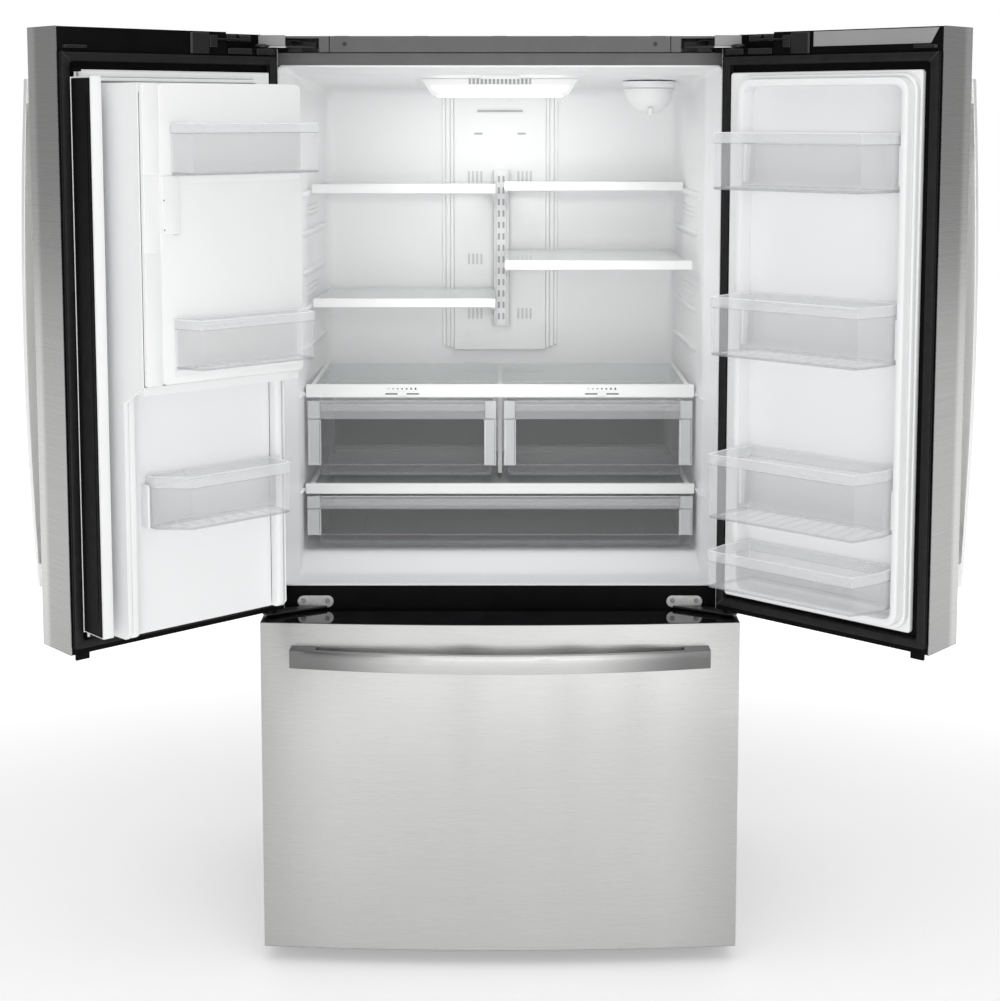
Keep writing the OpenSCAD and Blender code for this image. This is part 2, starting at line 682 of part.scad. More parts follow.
module door_handle() {
  half = (handle_z[1] - handle_z[0]) / 2;
  middle = (handle_z[1] + handle_z[0]) / 2;
  r = sagitta_r(half, handle_out[1] - handle_out[0]);
  face = front_y;
  x0 = handle_u[0] - half_w;
  x1 = handle_u[1] - half_w;
  across(x0, x1)
    intersection() {
      translate([face - handle_out[1] - 5, handle_z[0]]) square([60, 2 * half]);
      difference() {
        translate([face - handle_out[1] + r, middle]) circle(r = r, $fn = 720);
        translate([face - handle_out[1] + r, middle]) circle(r = r - handle_t, $fn = 720);
      }
    }
  difference() {
    for (z = [handle_z[0], handle_z[1] - 42])
      block([x0 + 2, face - handle_out[0] + 2, z], [x1 - 2, face + 3, z + 42]);
    upright(door_z0, door_z1) front_plan(door_hx[0], door_hx[1], -0.1, inner_y);
  }
}

module left_shell() color(steel) on_left_door()
  difference() {
    door_shell();
    dispenser_window(0.2, 0);
  }
module right_shell() color(steel) on_right_door() door_shell();

// the dispenser's place in the left door's face
dispenser_u = [120, 330];
dispenser_z = [1130, 1500];
dispenser_p = -24;
module dispenser_window(room, deeper)
  door_block([dispenser_u[0] - room, dispenser_u[1] + room], [-120, dispenser_p + deeper],
    [dispenser_z[0] - room, dispenser_z[1] + room]);

// the left door's foam is in blocks round the dispenser's recess
module left_core() color(foam) on_left_door()
  difference() {
    door_core();
    dispenser_window(0.3, 0.3);
    for (z = [dispenser_z[0] - 0.5, dispenser_z[1] + 0.3]) door_block([0, 460], [-130, 10], [z, z + 0.2]);
    for (u = [dispenser_u[0] - 0.3, dispenser_u[1] + 0.1])
      door_block([u, u + 0.2], [-130, 10], [dispenser_z[0] - 0.4, dispenser_z[1] + 0.4]);
  }
module right_core() color(foam) on_right_door() door_core();

module left_frame() color(black) on_left_door() door_frame();
module right_frame() color(black) on_right_door() door_frame();
module left_gasket() color(black) on_left_door() door_gasket();
module right_gasket() color(black) on_right_door() door_gasket();
module left_handle() color(steel) on_left_door() door_handle();
module right_handle() color(steel) on_right_door() door_handle();

// extrudes a drawing of [p, Z] along the door
module along_door(u0, u1)
  across(u0 - half_w, u1 - half_w) translate([inner_y, 0]) children();

function door_points(list) = [for (q = list) [q[0] - half_w, q[1] + inner_y]];

// the ice compartment on the left door: its sides, its depth and its top
ice_u = [63, 384];
ice_p = 150;
ice_z = [1170, 1679];
dike_p = 95;
dike_z = [724, 1138];
panel_p = 72; // the flat panel behind the bin below the ice compartment
panel_t = 5;
side_profile = [[liner_p - 1, dike_z[0]], [dike_p - 10, dike_z[0]], [dike_p, dike_z[0] + 10], [dike_p, dike_z[1]],
  [ice_p, ice_z[0]], [ice_p, ice_z[1]], [liner_p - 1, ice_z[1]]];
ice_pin = [73, 155.3];
ice_pin_r = 3;
mullion_pin = [427.85, 20.15];
mullion_z = [731, 1690];

module left_liner() color(white) on_left_door()
  difference() {
    union() {
      door_block(liner_u, [0.1, liner_p], liner_z);
      along_door(ice_u[0], ice_u[0] + 4) polygon(side_profile);
      intersection() {
        along_door(ice_u[1] - 10, ice_u[1] + 20) polygon(side_profile);
        upright(700, 1700)
          polygon(door_points([[ice_u[1] + 16, liner_p - 1], [ice_u[1] + 12, liner_p - 1],
            [ice_u[1] - 4, ice_p + 1], [ice_u[1], ice_p + 1]]));
      }
      for (u = [ice_u[0], ice_u[1] - 12])
        along_door(u, u + 16)
          polygon([[liner_p - 1, dike_z[0]], [dike_p - 10, dike_z[0]], [dike_p, dike_z[0] + 10], [dike_p, dike_z[1]],
            [liner_p - 1, dike_z[1]]]);
      door_block([ice_u[0], ice_u[1]], [liner_p - 1, ice_p], [ice_z[1] - 4, ice_z[1]]);
      along_door(ice_u[0], ice_u[1])
        polygon([[liner_p - 1, dike_z[1] - 6], [dike_p, dike_z[1] - 6], [dike_p, dike_z[1]], [ice_p, ice_z[0]],
          [ice_p, ice_z[0] + 5], [dike_p - 5, 1142], [liner_p - 1, 1142]]);
      along_door(ice_u[0], ice_u[1] + 4)
        polygon([[liner_p - 1, dike_z[0]], [panel_p, dike_z[0]], [panel_p, dike_z[1]], [panel_p - panel_t, dike_z[1]],
          [panel_p - panel_t, dike_z[0] + panel_t], [liner_p - 1, dike_z[0] + panel_t]]);
      // lugs for the ice door's pins and for the folding bar's pins
      door_block([ice_u[0], ice_u[0] + 20], [130, 162], [ice_z[1] + 0.6, ice_z[1] + 7]);
      door_block([ice_u[0], ice_u[0] + 20], [130, 142.5], [ice_z[1] - 3, ice_z[1] + 7]);
      door_block([ice_u[0], ice_u[0] + 20], [130, 162], [ice_z[0] - 8, ice_z[0] + 0.4]);
      for (z = [[mullion_z[0] - 9.5, mullion_z[0] - 1], [mullion_z[1] + 1, mullion_z[1] + 10]]) {
        door_block([400, liner_u[1]], [liner_p - 1, 30], [max(z[0], liner_z[0]), z[1]]);
        door_block([400, 437], [seal_p + 0.5, 30], z);
      }
    }
    door_block([ice_u[0] - 1, ice_u[0] + 23], [143, ice_p + 1], [ice_z[0] + 0.4, ice_z[1] + 0.6]);
    rod([ice_pin[0] - half_w, ice_pin[1] + inner_y, ice_z[0] - 5.5], "z", ice_pin_r + run_gap, 8);
    rod([ice_pin[0] - half_w, ice_pin[1] + inner_y, ice_z[1] - 1], "z", ice_pin_r + run_gap, 6.5);
    rod([mullion_pin[0] - half_w, mullion_pin[1] + inner_y, mullion_z[0] - 12], "z",
      ice_pin_r + run_gap, mullion_z[1] - mullion_z[0] + 24);
  }

// the bar that folds out behind the gap between the closed doors, drawn folded
module mullion_bar() color(black) on_left_door() {
  difference() {
    upright(mullion_z[0], mullion_z[1])
      polygon(door_points([[413, seal_p + 1], [430.5, seal_p + 1], [435, seal_p + 5.5], [435, 80], [413, 80]]));
    door_block([410, 431], [30, 76], [mullion_z[0] + 6, mullion_z[1] - 6]);
  }
  door_block([416, 431.5], [34, 72], [mullion_z[0] + 40, mullion_z[1] - 40]);
  rod([mullion_pin[0] - half_w, mullion_pin[1] + inner_y, mullion_z[0] - 8], "z",
    ice_pin_r, mullion_z[1] - mullion_z[0] + 16);
}

pull_u = [318, 353];
pull_z = [1395, 1525];
module ice_door() color(white) on_left_door() {
  difference() {
    door_block([ice_u[0] + 0.5, ice_u[1] - 0.5], [ice_p + 0.6, ice_p + 10], [ice_z[0] + 1, ice_z[1]]);
    door_block(pull_u, [ice_p + 4, ice_p + 12], pull_z);
  }
  rod([ice_pin[0] - half_w, ice_pin[1] + inner_y, ice_z[0] - 5], "z", ice_pin_r, 10);
  rod([ice_pin[0] - half_w, ice_pin[1] + inner_y, ice_z[1] - 5], "z", ice_pin_r, 10);
}

bin_wall = 2.6;
module ice_door_bins() color(clear_plastic) on_left_door() {
  back_p = ice_p + 10.2;
  tray(door_points([[64, back_p], [335, back_p], [328, 225], [68, 225]]), 1526, 1612, bin_wall, bin_wall);
  tray(door_points([[74, back_p], [335, back_p], [312, 218], [78, 218]]), 1198, 1283, bin_wall, bin_wall);
}

module left_door_bin() color(clear_plastic) on_left_door()
  tray(door_points([[82, panel_p + 0.2], [344, panel_p + 0.2], [340, 100], [292, 148], [82, 146]]),
    911, 1005, bin_wall, bin_wall);

module ice_bucket() color(clear_plastic) on_left_door()
  tray(door_points([[78, 20], [372, 20], [364, 140], [90, 140]]), 1186, 1400, 3, 3);

module ice_maker() color(white) on_left_door() {
  difference() {
    door_block([96, 330], [16, 104], [1500, 1556]);
    for (u = [104 : 28 : 300]) door_block([u, u + 24], [24, 96], [1514, 1560]);
  }
  door_block([330, 366], [12, 110], [1470, 1600]);
  rod([96 - half_w, 60 + inner_y, 1574], "x", 5, 240);
  for (u = [114 : 28 : 310]) door_block([u, u + 4], [30, 62], [1570, 1578]);
}

paddle_u = [200, 250];
paddle_pin = [-52.5, 1340];
module dispenser() color(black) on_left_door()
  difference() {
    union() {
      difference() {
        intersection() {
          upright(dispenser_z[0], dispenser_z[1]) front_plan(door_hx[0], door_hx[1], -2, inner_y);
          door_block(dispenser_u, [-120, dispenser_p], dispenser_z);
        }
        door_block([dispenser_u[0] + 4, dispenser_u[1] - 4], [-130, dispenser_p - 4],
          [dispenser_z[0] + 10, 1392]);
      }
      for (u = [paddle_u[0] - 8, paddle_u[1] + 4])
        door_block([u, u + 4], [paddle_pin[0] - 6, paddle_pin[0] + 6], [paddle_pin[1] - 6, 1393]);
      rod([225 - half_w, -76 + inner_y, 1350], "z", 16, 43);
      for (u = [140 : 12 : 308]) door_block([u, u + 4], [-84, -30], [dispenser_z[0] + 9, dispenser_z[0] + 14]);
    }
    rod([paddle_u[0] - half_w - 10, paddle_pin[0] + inner_y, paddle_pin[1]], "x", ice_pin_r + run_gap, 70);
  }

module dispenser_paddle() color(dark) on_left_door() {
  rod([paddle_u[0] - half_w - 8, paddle_pin[0] + inner_y, paddle_pin[1]], "x", ice_pin_r, 66);
  door_block(paddle_u + [1, -1], [paddle_pin[0] - 2, paddle_pin[0] + 2], [1226, paddle_pin[1]]);
}

rim_u = [60, 408];
rim_z = [736, 1690];
rim_p = 40;
rim_t = 14;
module right_liner() color(white) on_right_door() {
  door_block(liner_u, [0.1, liner_p], liner_z);
  backward(liner_p - 1 + inner_y, rim_p + inner_y)
    difference() {
      round_rect([rim_u[0] - half_w, rim_z[0]], [rim_u[1] - half_w, rim_z[1]], 26);
      round_rect([rim_u[0] + rim_t - half_w, rim_z[0] + rim_t], [rim_u[1] - rim_t - half_w, rim_z[1] - rim_t], 14);
    }
}

right_bin = [[80, liner_p + 0.2], [391, liner_p + 0.2], [391, 60], [373, 130], [70, 132], [68, 72]];
module right_door_bins() color(clear_plastic) on_right_door() {
  for (z = [[1493, 1595], [1195, 1302], [897, 1016]])
    tray(door_points(right_bin), z[0], z[1], bin_wall, bin_wall);
  difference() {
    low_bin(0);
    low_bin(bin_wall);
  }
}
// the lowest bin's bottom slopes up, to clear the compartment's lower lip
module low_bin(t)
  intersection() {
    upright(720, 838 + t) polygon(inset(door_points(right_bin), t));
    along_door(60, 410)
      polygon([[0, 764 + t], [rim_p, 764 + t], [dike_p, 766 + t], [140, 768 + t], [140, 840 + t], [0, 840 + t]]);
  }

// ---- the freezer drawer ----

slide_x = [384, 340];
drawer_hx = [-half_w, half_w];

module drawer_shell() color(steel) on_case()
  difference() {
    upright(drawer_z0, drawer_z1) front_plan(drawer_hx[0], drawer_hx[1], 0, inner_y);
    upright(drawer_z0 - 1, drawer_z1 + 1) front_plan(drawer_hx[0], drawer_hx[1], skin, inner_y + 1);
  }

module drawer_core() color(white) on_case()
  upright(drawer_z0 + 14, drawer_z1 - 18) front_plan(drawer_hx[0], drawer_hx[1], skin + 0.3, inner_y);

// black end caps, and the seal round the inner face
module drawer_frame() color(black) on_case() {
  upright(drawer_z0 + 0.5, drawer_z0 + 13.6) front_plan(drawer_hx[0], drawer_hx[1], skin + 0.2, inner_y);
  upright(drawer_z1 - 17.6, drawer_z1 - 0.5) front_plan(drawer_hx[0], drawer_hx[1], skin + 0.2, inner_y);
  difference() {
    block([-444, inner_y + 0.1, 60], [444, inner_y + seal_p, 664]);
    block([-408, inner_y - 1, 92], [408, 1, 638]);
  }
}

grip_hx = 395;
grip_z = [594, 628.5];
grip_out = [-134, -174];
module drawer_handle() color(steel) on_case() {
  r = sagitta_r(grip_hx, grip_out[0] - grip_out[1]);
  upright(grip_z[0], grip_z[1])
    intersection() {
      translate([-grip_hx, grip_out[1] - 5]) square([2 * grip_hx, 80]);
      difference() {
        translate([0, grip_out[1] + r]) circle(r = r, $fn = 720);
        translate([0, grip_out[1] + r]) circle(r = r - 12, $fn = 720);
      }
    }
  difference() {
    for (side = [0, 1]) mirror([side, 0, 0])
      block([-grip_hx, grip_out[0] + 2, grip_z[0] + 1], [-grip_hx + 48, -95, grip_z[1] - 1]);
    upright(drawer_z0, drawer_z1) front_plan(drawer_hx[0], drawer_hx[1], -0.1, inner_y);
  }
}

module drawer_slides() color(zinc) on_case()
  for (side = [0, 1]) mirror([side, 0, 0]) {
    block([-slide_x[0], inner_y + 0.1, 330], [-slide_x[0] + 3, 440, 399]);
    for (z = [330, 396]) block([-slide_x[0], inner_y + 0.1, z], [-slide_x[1], 440, z + 3]);
    block([-slide_x[0], inner_y + 0.1, 330], [-slide_x[1], inner_y + 3, 399]);
  }

module lower_basket() color(white) on_case() {
  tray([[-336, 20], [336, 20], [336, 386], [-336, 386]], 104, 336, 3, 3);
  difference() {
    block([-370, 14, 333.2], [370, 392, 336.5]);
    block([-334, 22, 330], [334, 384, 340]);
  }
}

module upper_basket() color(clear_plastic) on_case() {
  tray([[-356, 24], [356, 24], [356, 320], [-356, 320]], 399.3, 520, 3, 3);
}

outer_case();
insulation();
fresh_liner();
freezer_liner();
centre_rail();
base_frame();
kick_grille();
leveling_feet();
roller_left();
roller_right();
hinge_cover();
top_hinges();
middle_hinges();
hinge_screws();
ceiling_fittings();
light_lens();
air_tower();
water_filter();
shelf_supports();
shelf_panes();
shelf_frames();
crisper_cover();
deli_cover();
humidity_slider_left();
humidity_slider_right();
crisper_left();
crisper_right();
deli_pan();
machinery();
condenser_fan();
rear_cover();
evaporator_cover();
left_shell();
left_core();
left_frame();
left_liner();
left_gasket();
left_handle();
mullion_bar();
ice_door();
ice_door_bins();
ice_bucket();
ice_maker();
left_door_bin();
dispenser();
dispenser_paddle();
right_shell();
right_core();
right_frame();
right_liner();
right_gasket();
right_handle();
right_door_bins();
drawer_shell();
drawer_core();
drawer_frame();
drawer_handle();
drawer_slides();
lower_basket();
upper_basket();
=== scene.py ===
import math

import bmesh
import bpy
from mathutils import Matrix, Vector


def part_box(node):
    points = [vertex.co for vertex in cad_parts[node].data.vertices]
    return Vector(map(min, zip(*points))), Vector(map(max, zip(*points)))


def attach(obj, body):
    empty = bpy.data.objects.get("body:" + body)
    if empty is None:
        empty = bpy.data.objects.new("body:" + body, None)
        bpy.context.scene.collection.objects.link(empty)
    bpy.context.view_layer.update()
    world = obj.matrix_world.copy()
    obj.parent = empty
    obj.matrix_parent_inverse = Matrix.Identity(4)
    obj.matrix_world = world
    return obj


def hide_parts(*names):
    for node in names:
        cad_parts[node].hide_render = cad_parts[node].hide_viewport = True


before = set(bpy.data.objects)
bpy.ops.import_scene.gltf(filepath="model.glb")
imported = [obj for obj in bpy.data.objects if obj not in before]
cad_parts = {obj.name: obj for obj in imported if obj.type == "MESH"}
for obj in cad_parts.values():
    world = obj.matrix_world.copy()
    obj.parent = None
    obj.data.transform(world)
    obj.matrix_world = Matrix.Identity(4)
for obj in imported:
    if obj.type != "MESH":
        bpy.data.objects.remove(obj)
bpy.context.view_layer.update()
scene = bpy.context.scene

# ---------------------------------------------------------------- places ----
# Cabinet coordinates: millimetres, x across, y back from the case's front, z up.
# Door coordinates: u from the hinge edge, p from the inner face towards the
# cabinet, z up. Both are turned into the row frame, in metres, as built.
CASE_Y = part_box("outer_case")[0].y * 1000
HALF_W = 454.0
PIVOT = (-442.0, -45.0)
OPEN = math.radians(138.0)


def on_case(x, y, z):
    return (x / 1000, (y + CASE_Y) / 1000, z / 1000)


def on_left(u, p, z):
    dx, dy = u - HALF_W - PIVOT[0], p - 12.0 - PIVOT[1]
    c, s = math.cos(-OPEN), math.sin(-OPEN)
    return ((PIVOT[0] + dx * c - dy * s) / 1000, (PIVOT[1] + dx * s + dy * c + CASE_Y) / 1000, z / 1000)


def on_right(u, p, z):
    x, y, z = on_left(u, p, z)
    return (-x, y, z)


# Pieces on these bodies are drawn in door coordinates, all others in the cabinet's.
PLACE_OF = {"left_door": on_left, "ice_door": on_left, "mullion": on_left, "dispenser_paddle": on_left,
            "right_door": on_right}


# ------------------------------------------------------------- materials ----
NOISE_RANGE = (0.3, 0.7)      # where most of Blender's noise lies
BUMP_DEPTH = 0.0006           # metres
FACING_BLEND = 0.35           # how fast clear plastic turns solid towards its edges


def node_maker(tree):
    """Two shorthands for a node tree: new(kind, socket=value) and link(from, to)."""
    def new(kind, **sockets):
        node = tree.nodes.new("ShaderNode" + kind)
        for key, value in sockets.items():
            node.inputs[key.replace("_", " ")].default_value = value
        return node

    return new, tree.links.new


def map_range(new, link, value, start, end, low=0.0, high=1.0, smooth=False):
    node = new("MapRange", From_Min=start, From_Max=end, To_Min=low, To_Max=high)
    if smooth:
        node.interpolation_type = "SMOOTHSTEP"
    link(value, node.inputs["Value"])
    return node.outputs["Result"]


def material(name, color, rough, spots, spot_size, bump, bump_size=400.0, rough_spread=0.06,
             metal=0.0, grain=None, clear=None, ends=None, **sockets):
    """A node material: colour mottled by noise, roughness from a second noise, bump from a third.

    grain stretches the noise into brushed lines. clear gives alpha facing the eye and at the edge.
    ends paints shade along an axis of the piece, the colour darkening away from the axis's zero: from, to,
    factor, axis.
    """
    m = bpy.data.materials.new(name)
    m.use_nodes = True
    bsdf = m.node_tree.nodes["Principled BSDF"]
    new, link = node_maker(m.node_tree)
    place = new("TexCoord").outputs["Object"]

    def noise(scale, detail=3.0, stretch=None):
        n = new("TexNoise", Scale=scale, Detail=detail)
        at = place
        if stretch:
            mapping = new("Mapping", Scale=stretch)
            link(place, mapping.inputs["Vector"])
            at = mapping.outputs["Vector"]
        link(at, n.inputs["Vector"])
        return n.outputs["Fac"]

    def mix(fac, a, b):
        x = new("Mix")
        x.data_type = "RGBA"
        link(fac, x.inputs["Factor"])
        for socket, c in ((x.inputs[6], a), (x.inputs[7], b)):
            if isinstance(c, tuple):
                socket.default_value = (*c, 1)
            else:
                link(c, socket)
        return x.outputs[2]

    dark = tuple(c * (1 - spots) for c in color)
    light = tuple(min(1.0, c * (1 + spots)) for c in color)
    colour = mix(map_range(new, link, noise(spot_size), *NOISE_RANGE), dark, light)
    if grain:
        streaks = map_range(new, link, noise(1.0, 2.0, grain), *NOISE_RANGE)
        colour = mix(streaks, tuple(c * (1 - 2.0 * spots) for c in color), colour)
    # painted shade: the colour fades to factor times itself between start and end along the axis
    if ends:
        start, end, factor, axis = ends
        split = new("SeparateXYZ")
        link(place, split.inputs["Vector"])
        side = new("Math")
        side.operation = "ABSOLUTE"
        link(split.outputs[axis], side.inputs[0])
        fade = map_range(new, link, side.outputs["Value"], start, end, smooth=True)
        colour = mix(fade, colour, tuple(c * factor for c in color))
    link(colour, bsdf.inputs["Base Color"])
    rough_noise = noise(1.0, 2.0, grain) if grain else noise(spot_size * 3)
    link(map_range(new, link, rough_noise, *NOISE_RANGE, max(0.02, rough - rough_spread),
                   min(1.0, rough + rough_spread)), bsdf.inputs["Roughness"])
    if bump:
        b = new("Bump", Strength=bump, Distance=BUMP_DEPTH)
        link(noise(1.0, 2.0, grain) if grain else noise(bump_size, 2.0), b.inputs["Height"])
        link(b.outputs["Normal"], bsdf.inputs["Normal"])
    if clear:
        weight = new("LayerWeight", Blend=FACING_BLEND)
        link(map_range(new, link, weight.outputs["Facing"], 0.0, 1.0, *clear), bsdf.inputs["Alpha"])
    bsdf.inputs["Metallic"].default_value = metal
    for key, value in sockets.items():
        bsdf.inputs[key.replace("_", " ")].default_value = value
    return m


HORIZONTAL_GRAIN = (6.0, 6.0, 1400.0)
steel = material("brushed_stainless", (0.60, 0.60, 0.595), 0.30, 0.035, 3.0, 0.05, metal=1.0,
                 grain=HORIZONTAL_GRAIN, Anisotropic=0.45)
# painted shade: the drawer handle's colour darkens towards both ends along x
drawer_handle_painted_shade = material("handle_stainless", (0.60, 0.60, 0.595), 0.22, 0.03, 5.0, 0.04, metal=1.0,
                      grain=HORIZONTAL_GRAIN, ends=(0.13, 0.36, 0.30, "X"), Anisotropic=0.4)
# painted shade: the drawer front's colour darkens towards its left and right ends
drawer_steel = material("drawer_stainless", (0.595, 0.595, 0.59), 0.30, 0.035, 3.0, 0.05, metal=1.0,
                        grain=HORIZONTAL_GRAIN, ends=(0.30, 0.47, 0.80, "X"), Anisotropic=0.45)
# painted shade: the door shells' colour darkens past the free edge's depth, over the side strips along the
# free edges
FREE_EDGE_Y = abs(on_left(452, -82, 0)[1])
door_steel = material("door_stainless", (0.60, 0.60, 0.595), 0.30, 0.035, 3.0, 0.05, metal=1.0,
                      grain=HORIZONTAL_GRAIN, ends=(FREE_EDGE_Y - 0.004, FREE_EDGE_Y + 0.010, 0.64, "Y"),
                      Anisotropic=0.45)
# painted highlight: the handles' colour is raised well above the doors' stainless, a lit copy of that steel
door_handle = material("door_handle_stainless", (0.95, 0.95, 0.945), 0.46, 0.03, 5.0, 0.04, metal=1.0,
                       grain=HORIZONTAL_GRAIN, Anisotropic=0.2)
case_paint = material("case_paint", (0.115, 0.115, 0.118), 0.42, 0.05, 25.0, 0.12, 900.0, metal=0.35)
white_liner = material("white_liner", (0.86, 0.865, 0.87), 0.34, 0.003, 5.0, 0.02, 700.0, 0.02)
white_plastic = material("white_plastic", (0.87, 0.872, 0.875), 0.32, 0.003, 7.0, 0.02, 900.0, 0.02)
black_plastic = material("black_plastic", (0.0045, 0.0045, 0.005), 0.36, 0.2, 20.0, 0.04, 600.0,
                         Specular_IOR_Level=0.04)
rubber = material("seal_rubber", (0.010, 0.010, 0.011), 0.50, 0.25, 60.0, 0.12, 800.0,
                  Specular_IOR_Level=0.22)
zinc = material("bright_plate", (0.62, 0.62, 0.61), 0.33, 0.10, 120.0, 0.10, 300.0, metal=1.0)
black_paint = material("black_paint", (0.02, 0.02, 0.021), 0.38, 0.2, 40.0, 0.10, 700.0)
grey_plastic = material("grey_plastic", (0.055, 0.056, 0.058), 0.38, 0.08, 40.0, 0.06, 700.0)
galvanised = material("galvanised_sheet", (0.50, 0.51, 0.52), 0.42, 0.16, 28.0, 0.05, 120.0, metal=0.9)
black_gloss = material("gloss_black", (0.010, 0.010, 0.011), 0.06, 0.2, 20.0, 0.01, 60.0, 0.02)
icon_light = material("icon_ink", (0.62, 0.66, 0.70), 0.4, 0.05, 90.0, 0.05, 300.0,
                      Emission_Color=(0.7, 0.8, 0.9, 1), Emission_Strength=0.25)
foam = material("foam", (0.72, 0.60, 0.36), 0.9, 0.12, 60.0, 0.5, 260.0)
clear_plastic = material("clear_plastic", (0.92, 0.93, 0.94), 0.07, 0.01, 20.0, 0.01, 60.0, 0.02,
                         clear=(0.025, 0.46), Specular_IOR_Level=0.9)
frosted = material("frosted_plastic", (0.88, 0.90, 0.91), 0.36, 0.01, 30.0, 0.10, 900.0, 0.05,
                   clear=(0.20, 0.72))
pane_glass = material("pane_glass", (0.70, 0.76, 0.74), 0.05, 0.01, 12.0, 0.005, 20.0, 0.01,
                      clear=(0.05, 0.40), Specular_IOR_Level=0.8)
milky = material("milky_plastic", (0.84, 0.86, 0.87), 0.36, 0.01, 30.0, 0.08, 900.0, 0.05,
                 clear=(0.50, 0.95))
# painted shade: a dark copy of the clear plastic laid along the bins' feet and edges
painted_shade_edge = material("bin_edge_painted_shade", (0.30, 0.32, 0.35), 0.12, 0.04, 60.0, 0.02, 200.0, 0.03,
                     clear=(0.34, 0.75), Specular_IOR_Level=0.8)
# painted highlight: a bright copy of the clear plastic laid along the bins' rims and edges
painted_highlight_edge = material("bin_edge_painted_highlight", (0.90, 0.91, 0.92), 0.15, 0.01, 60.0, 0.02, 200.0, 0.03,
                      clear=(0.70, 0.95), Specular_IOR_Level=0.8)
BIN_MATS = [clear_plastic, frosted, painted_shade_edge, painted_highlight_edge, milky]
# painted shade: flat grey plates in this colour stand for the shade inside slots and holes and the shadow
# behind the lamp's ribs
painted_shadow_grey = material("painted_shadow_grey", (0.42, 0.43, 0.44), 0.5, 0.04, 60.0, 0.06, 600.0)
cap_grey = material("cap_grey", (0.30, 0.30, 0.30), 0.34, 0.03, 14.0, 0.05, 700.0)
shade_grey = material("shade_grey", (0.62, 0.63, 0.64), 0.5, 0.03, 60.0, 0.06, 600.0)
plate_screw = material("plate_screw", (0.36, 0.36, 0.36), 0.30, 0.10, 90.0, 0.08, 300.0, metal=0.9)
screw_dark = material("dark_screw", (0.035, 0.035, 0.036), 0.4, 0.10, 90.0, 0.08, 300.0, metal=0.3)
lamp = material("lamp_lens", (0.95, 0.95, 0.93), 0.35, 0.01, 60.0, 0.1, 500.0,
                Emission_Color=(1.0, 0.99, 0.96, 1), Emission_Strength=1.7)

# The material that each CAD node is given.
BY_NODE = {
    door_steel: "left_shell right_shell",
    drawer_steel: "drawer_shell",
    drawer_handle_painted_shade: "drawer_handle",
    door_handle: "left_handle right_handle",
    case_paint: "outer_case hinge_cover",
    foam: "insulation left_core right_core drawer_core",
    white_liner: "fresh_liner freezer_liner left_liner right_liner",
    white_plastic: "ceiling_fittings air_tower shelf_frames crisper_cover deli_cover humidity_slider_left "
                   "humidity_slider_right water_filter evaporator_cover ice_door ice_maker lower_basket",
    black_plastic: "centre_rail kick_grille left_frame right_frame mullion_bar dispenser",
    black_gloss: "drawer_frame",
    grey_plastic: "dispenser_paddle leveling_feet roller_left roller_right condenser_fan",
    rubber: "left_gasket right_gasket",
    black_paint: "machinery",
    zinc: "top_hinges middle_hinges hinge_screws shelf_supports drawer_slides",
    galvanised: "base_frame rear_cover",
    clear_plastic: "crisper_left crisper_right deli_pan ice_door_bins left_door_bin right_door_bins "
                   "ice_bucket upper_basket",
    pane_glass: "shelf_panes",
    lamp: "light_lens",
}
# Millimetres of bevel on the CAD nodes' edges.
BEVEL = {
    4.6: "left_handle right_handle",
    4.0: "drawer_handle right_liner",
    3.0: "left_liner",
    2.0: "shelf_frames",
    1.5: "left_shell right_shell drawer_shell hinge_cover ceiling_fittings crisper_cover deli_cover "
         "ice_door drawer_frame machinery",
    1.2: "air_tower mullion_bar",
    1.0: "humidity_slider_left humidity_slider_right lower_basket centre_rail left_frame right_frame "
         "dispenser dispenser_paddle crisper_left crisper_right deli_pan upper_basket",
    0.8: "kick_grille top_hinges middle_hinges ice_door_bins left_door_bin right_door_bins ice_bucket",
    0.6: "shelf_supports drawer_slides shelf_panes",
    0.5: "base_frame",
    0.4: "outer_case rear_cover",
}


WELD_REACH = 0.00002


def round_edges(o, width, segments, angle):
    """A bevel on every edge sharper than angle, its width in millimetres."""
    b = o.modifiers.new("edges", "BEVEL")
    b.width = width / 1000
    b.segments = segments
    b.limit_method = "ANGLE"
    b.angle_limit = math.radians(angle)
    b.harden_normals = True


for mat, names in BY_NODE.items():
    for name in names.split():
        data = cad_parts[name].data
        data.materials.clear()
        data.materials.append(mat)
for width, names in BEVEL.items():
    for name in names.split():
        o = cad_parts[name]
        o.modifiers.new("weld", "WELD").merge_threshold = WELD_REACH
        round_edges(o, width, 3, 40)

# ------------------------------------------------------------ mesh tools ----
def unit(x, y):
    """The direction of a vector in the plane."""
    d = math.hypot(x, y)
    return (x / d, y / d)


def inset(points, d):
    """A convex outline, its corners listed anticlockwise, moved in by d."""
    out = []
    for i, (x, y) in enumerate(points):
        ax, ay = unit(x - points[i - 1][0], y - points[i - 1][1])
        nx, ny = points[(i + 1) % len(points)]
        bx, by = unit(nx - x, ny - y)
        n1, n2 = (-ay, ax), (-by, bx)
        k = d / (1 + n1[0] * n2[0] + n1[1] * n2[1])
        out.append((x + (n1[0] + n2[0]) * k, y + (n1[1] + n2[1]) * k))
    return out


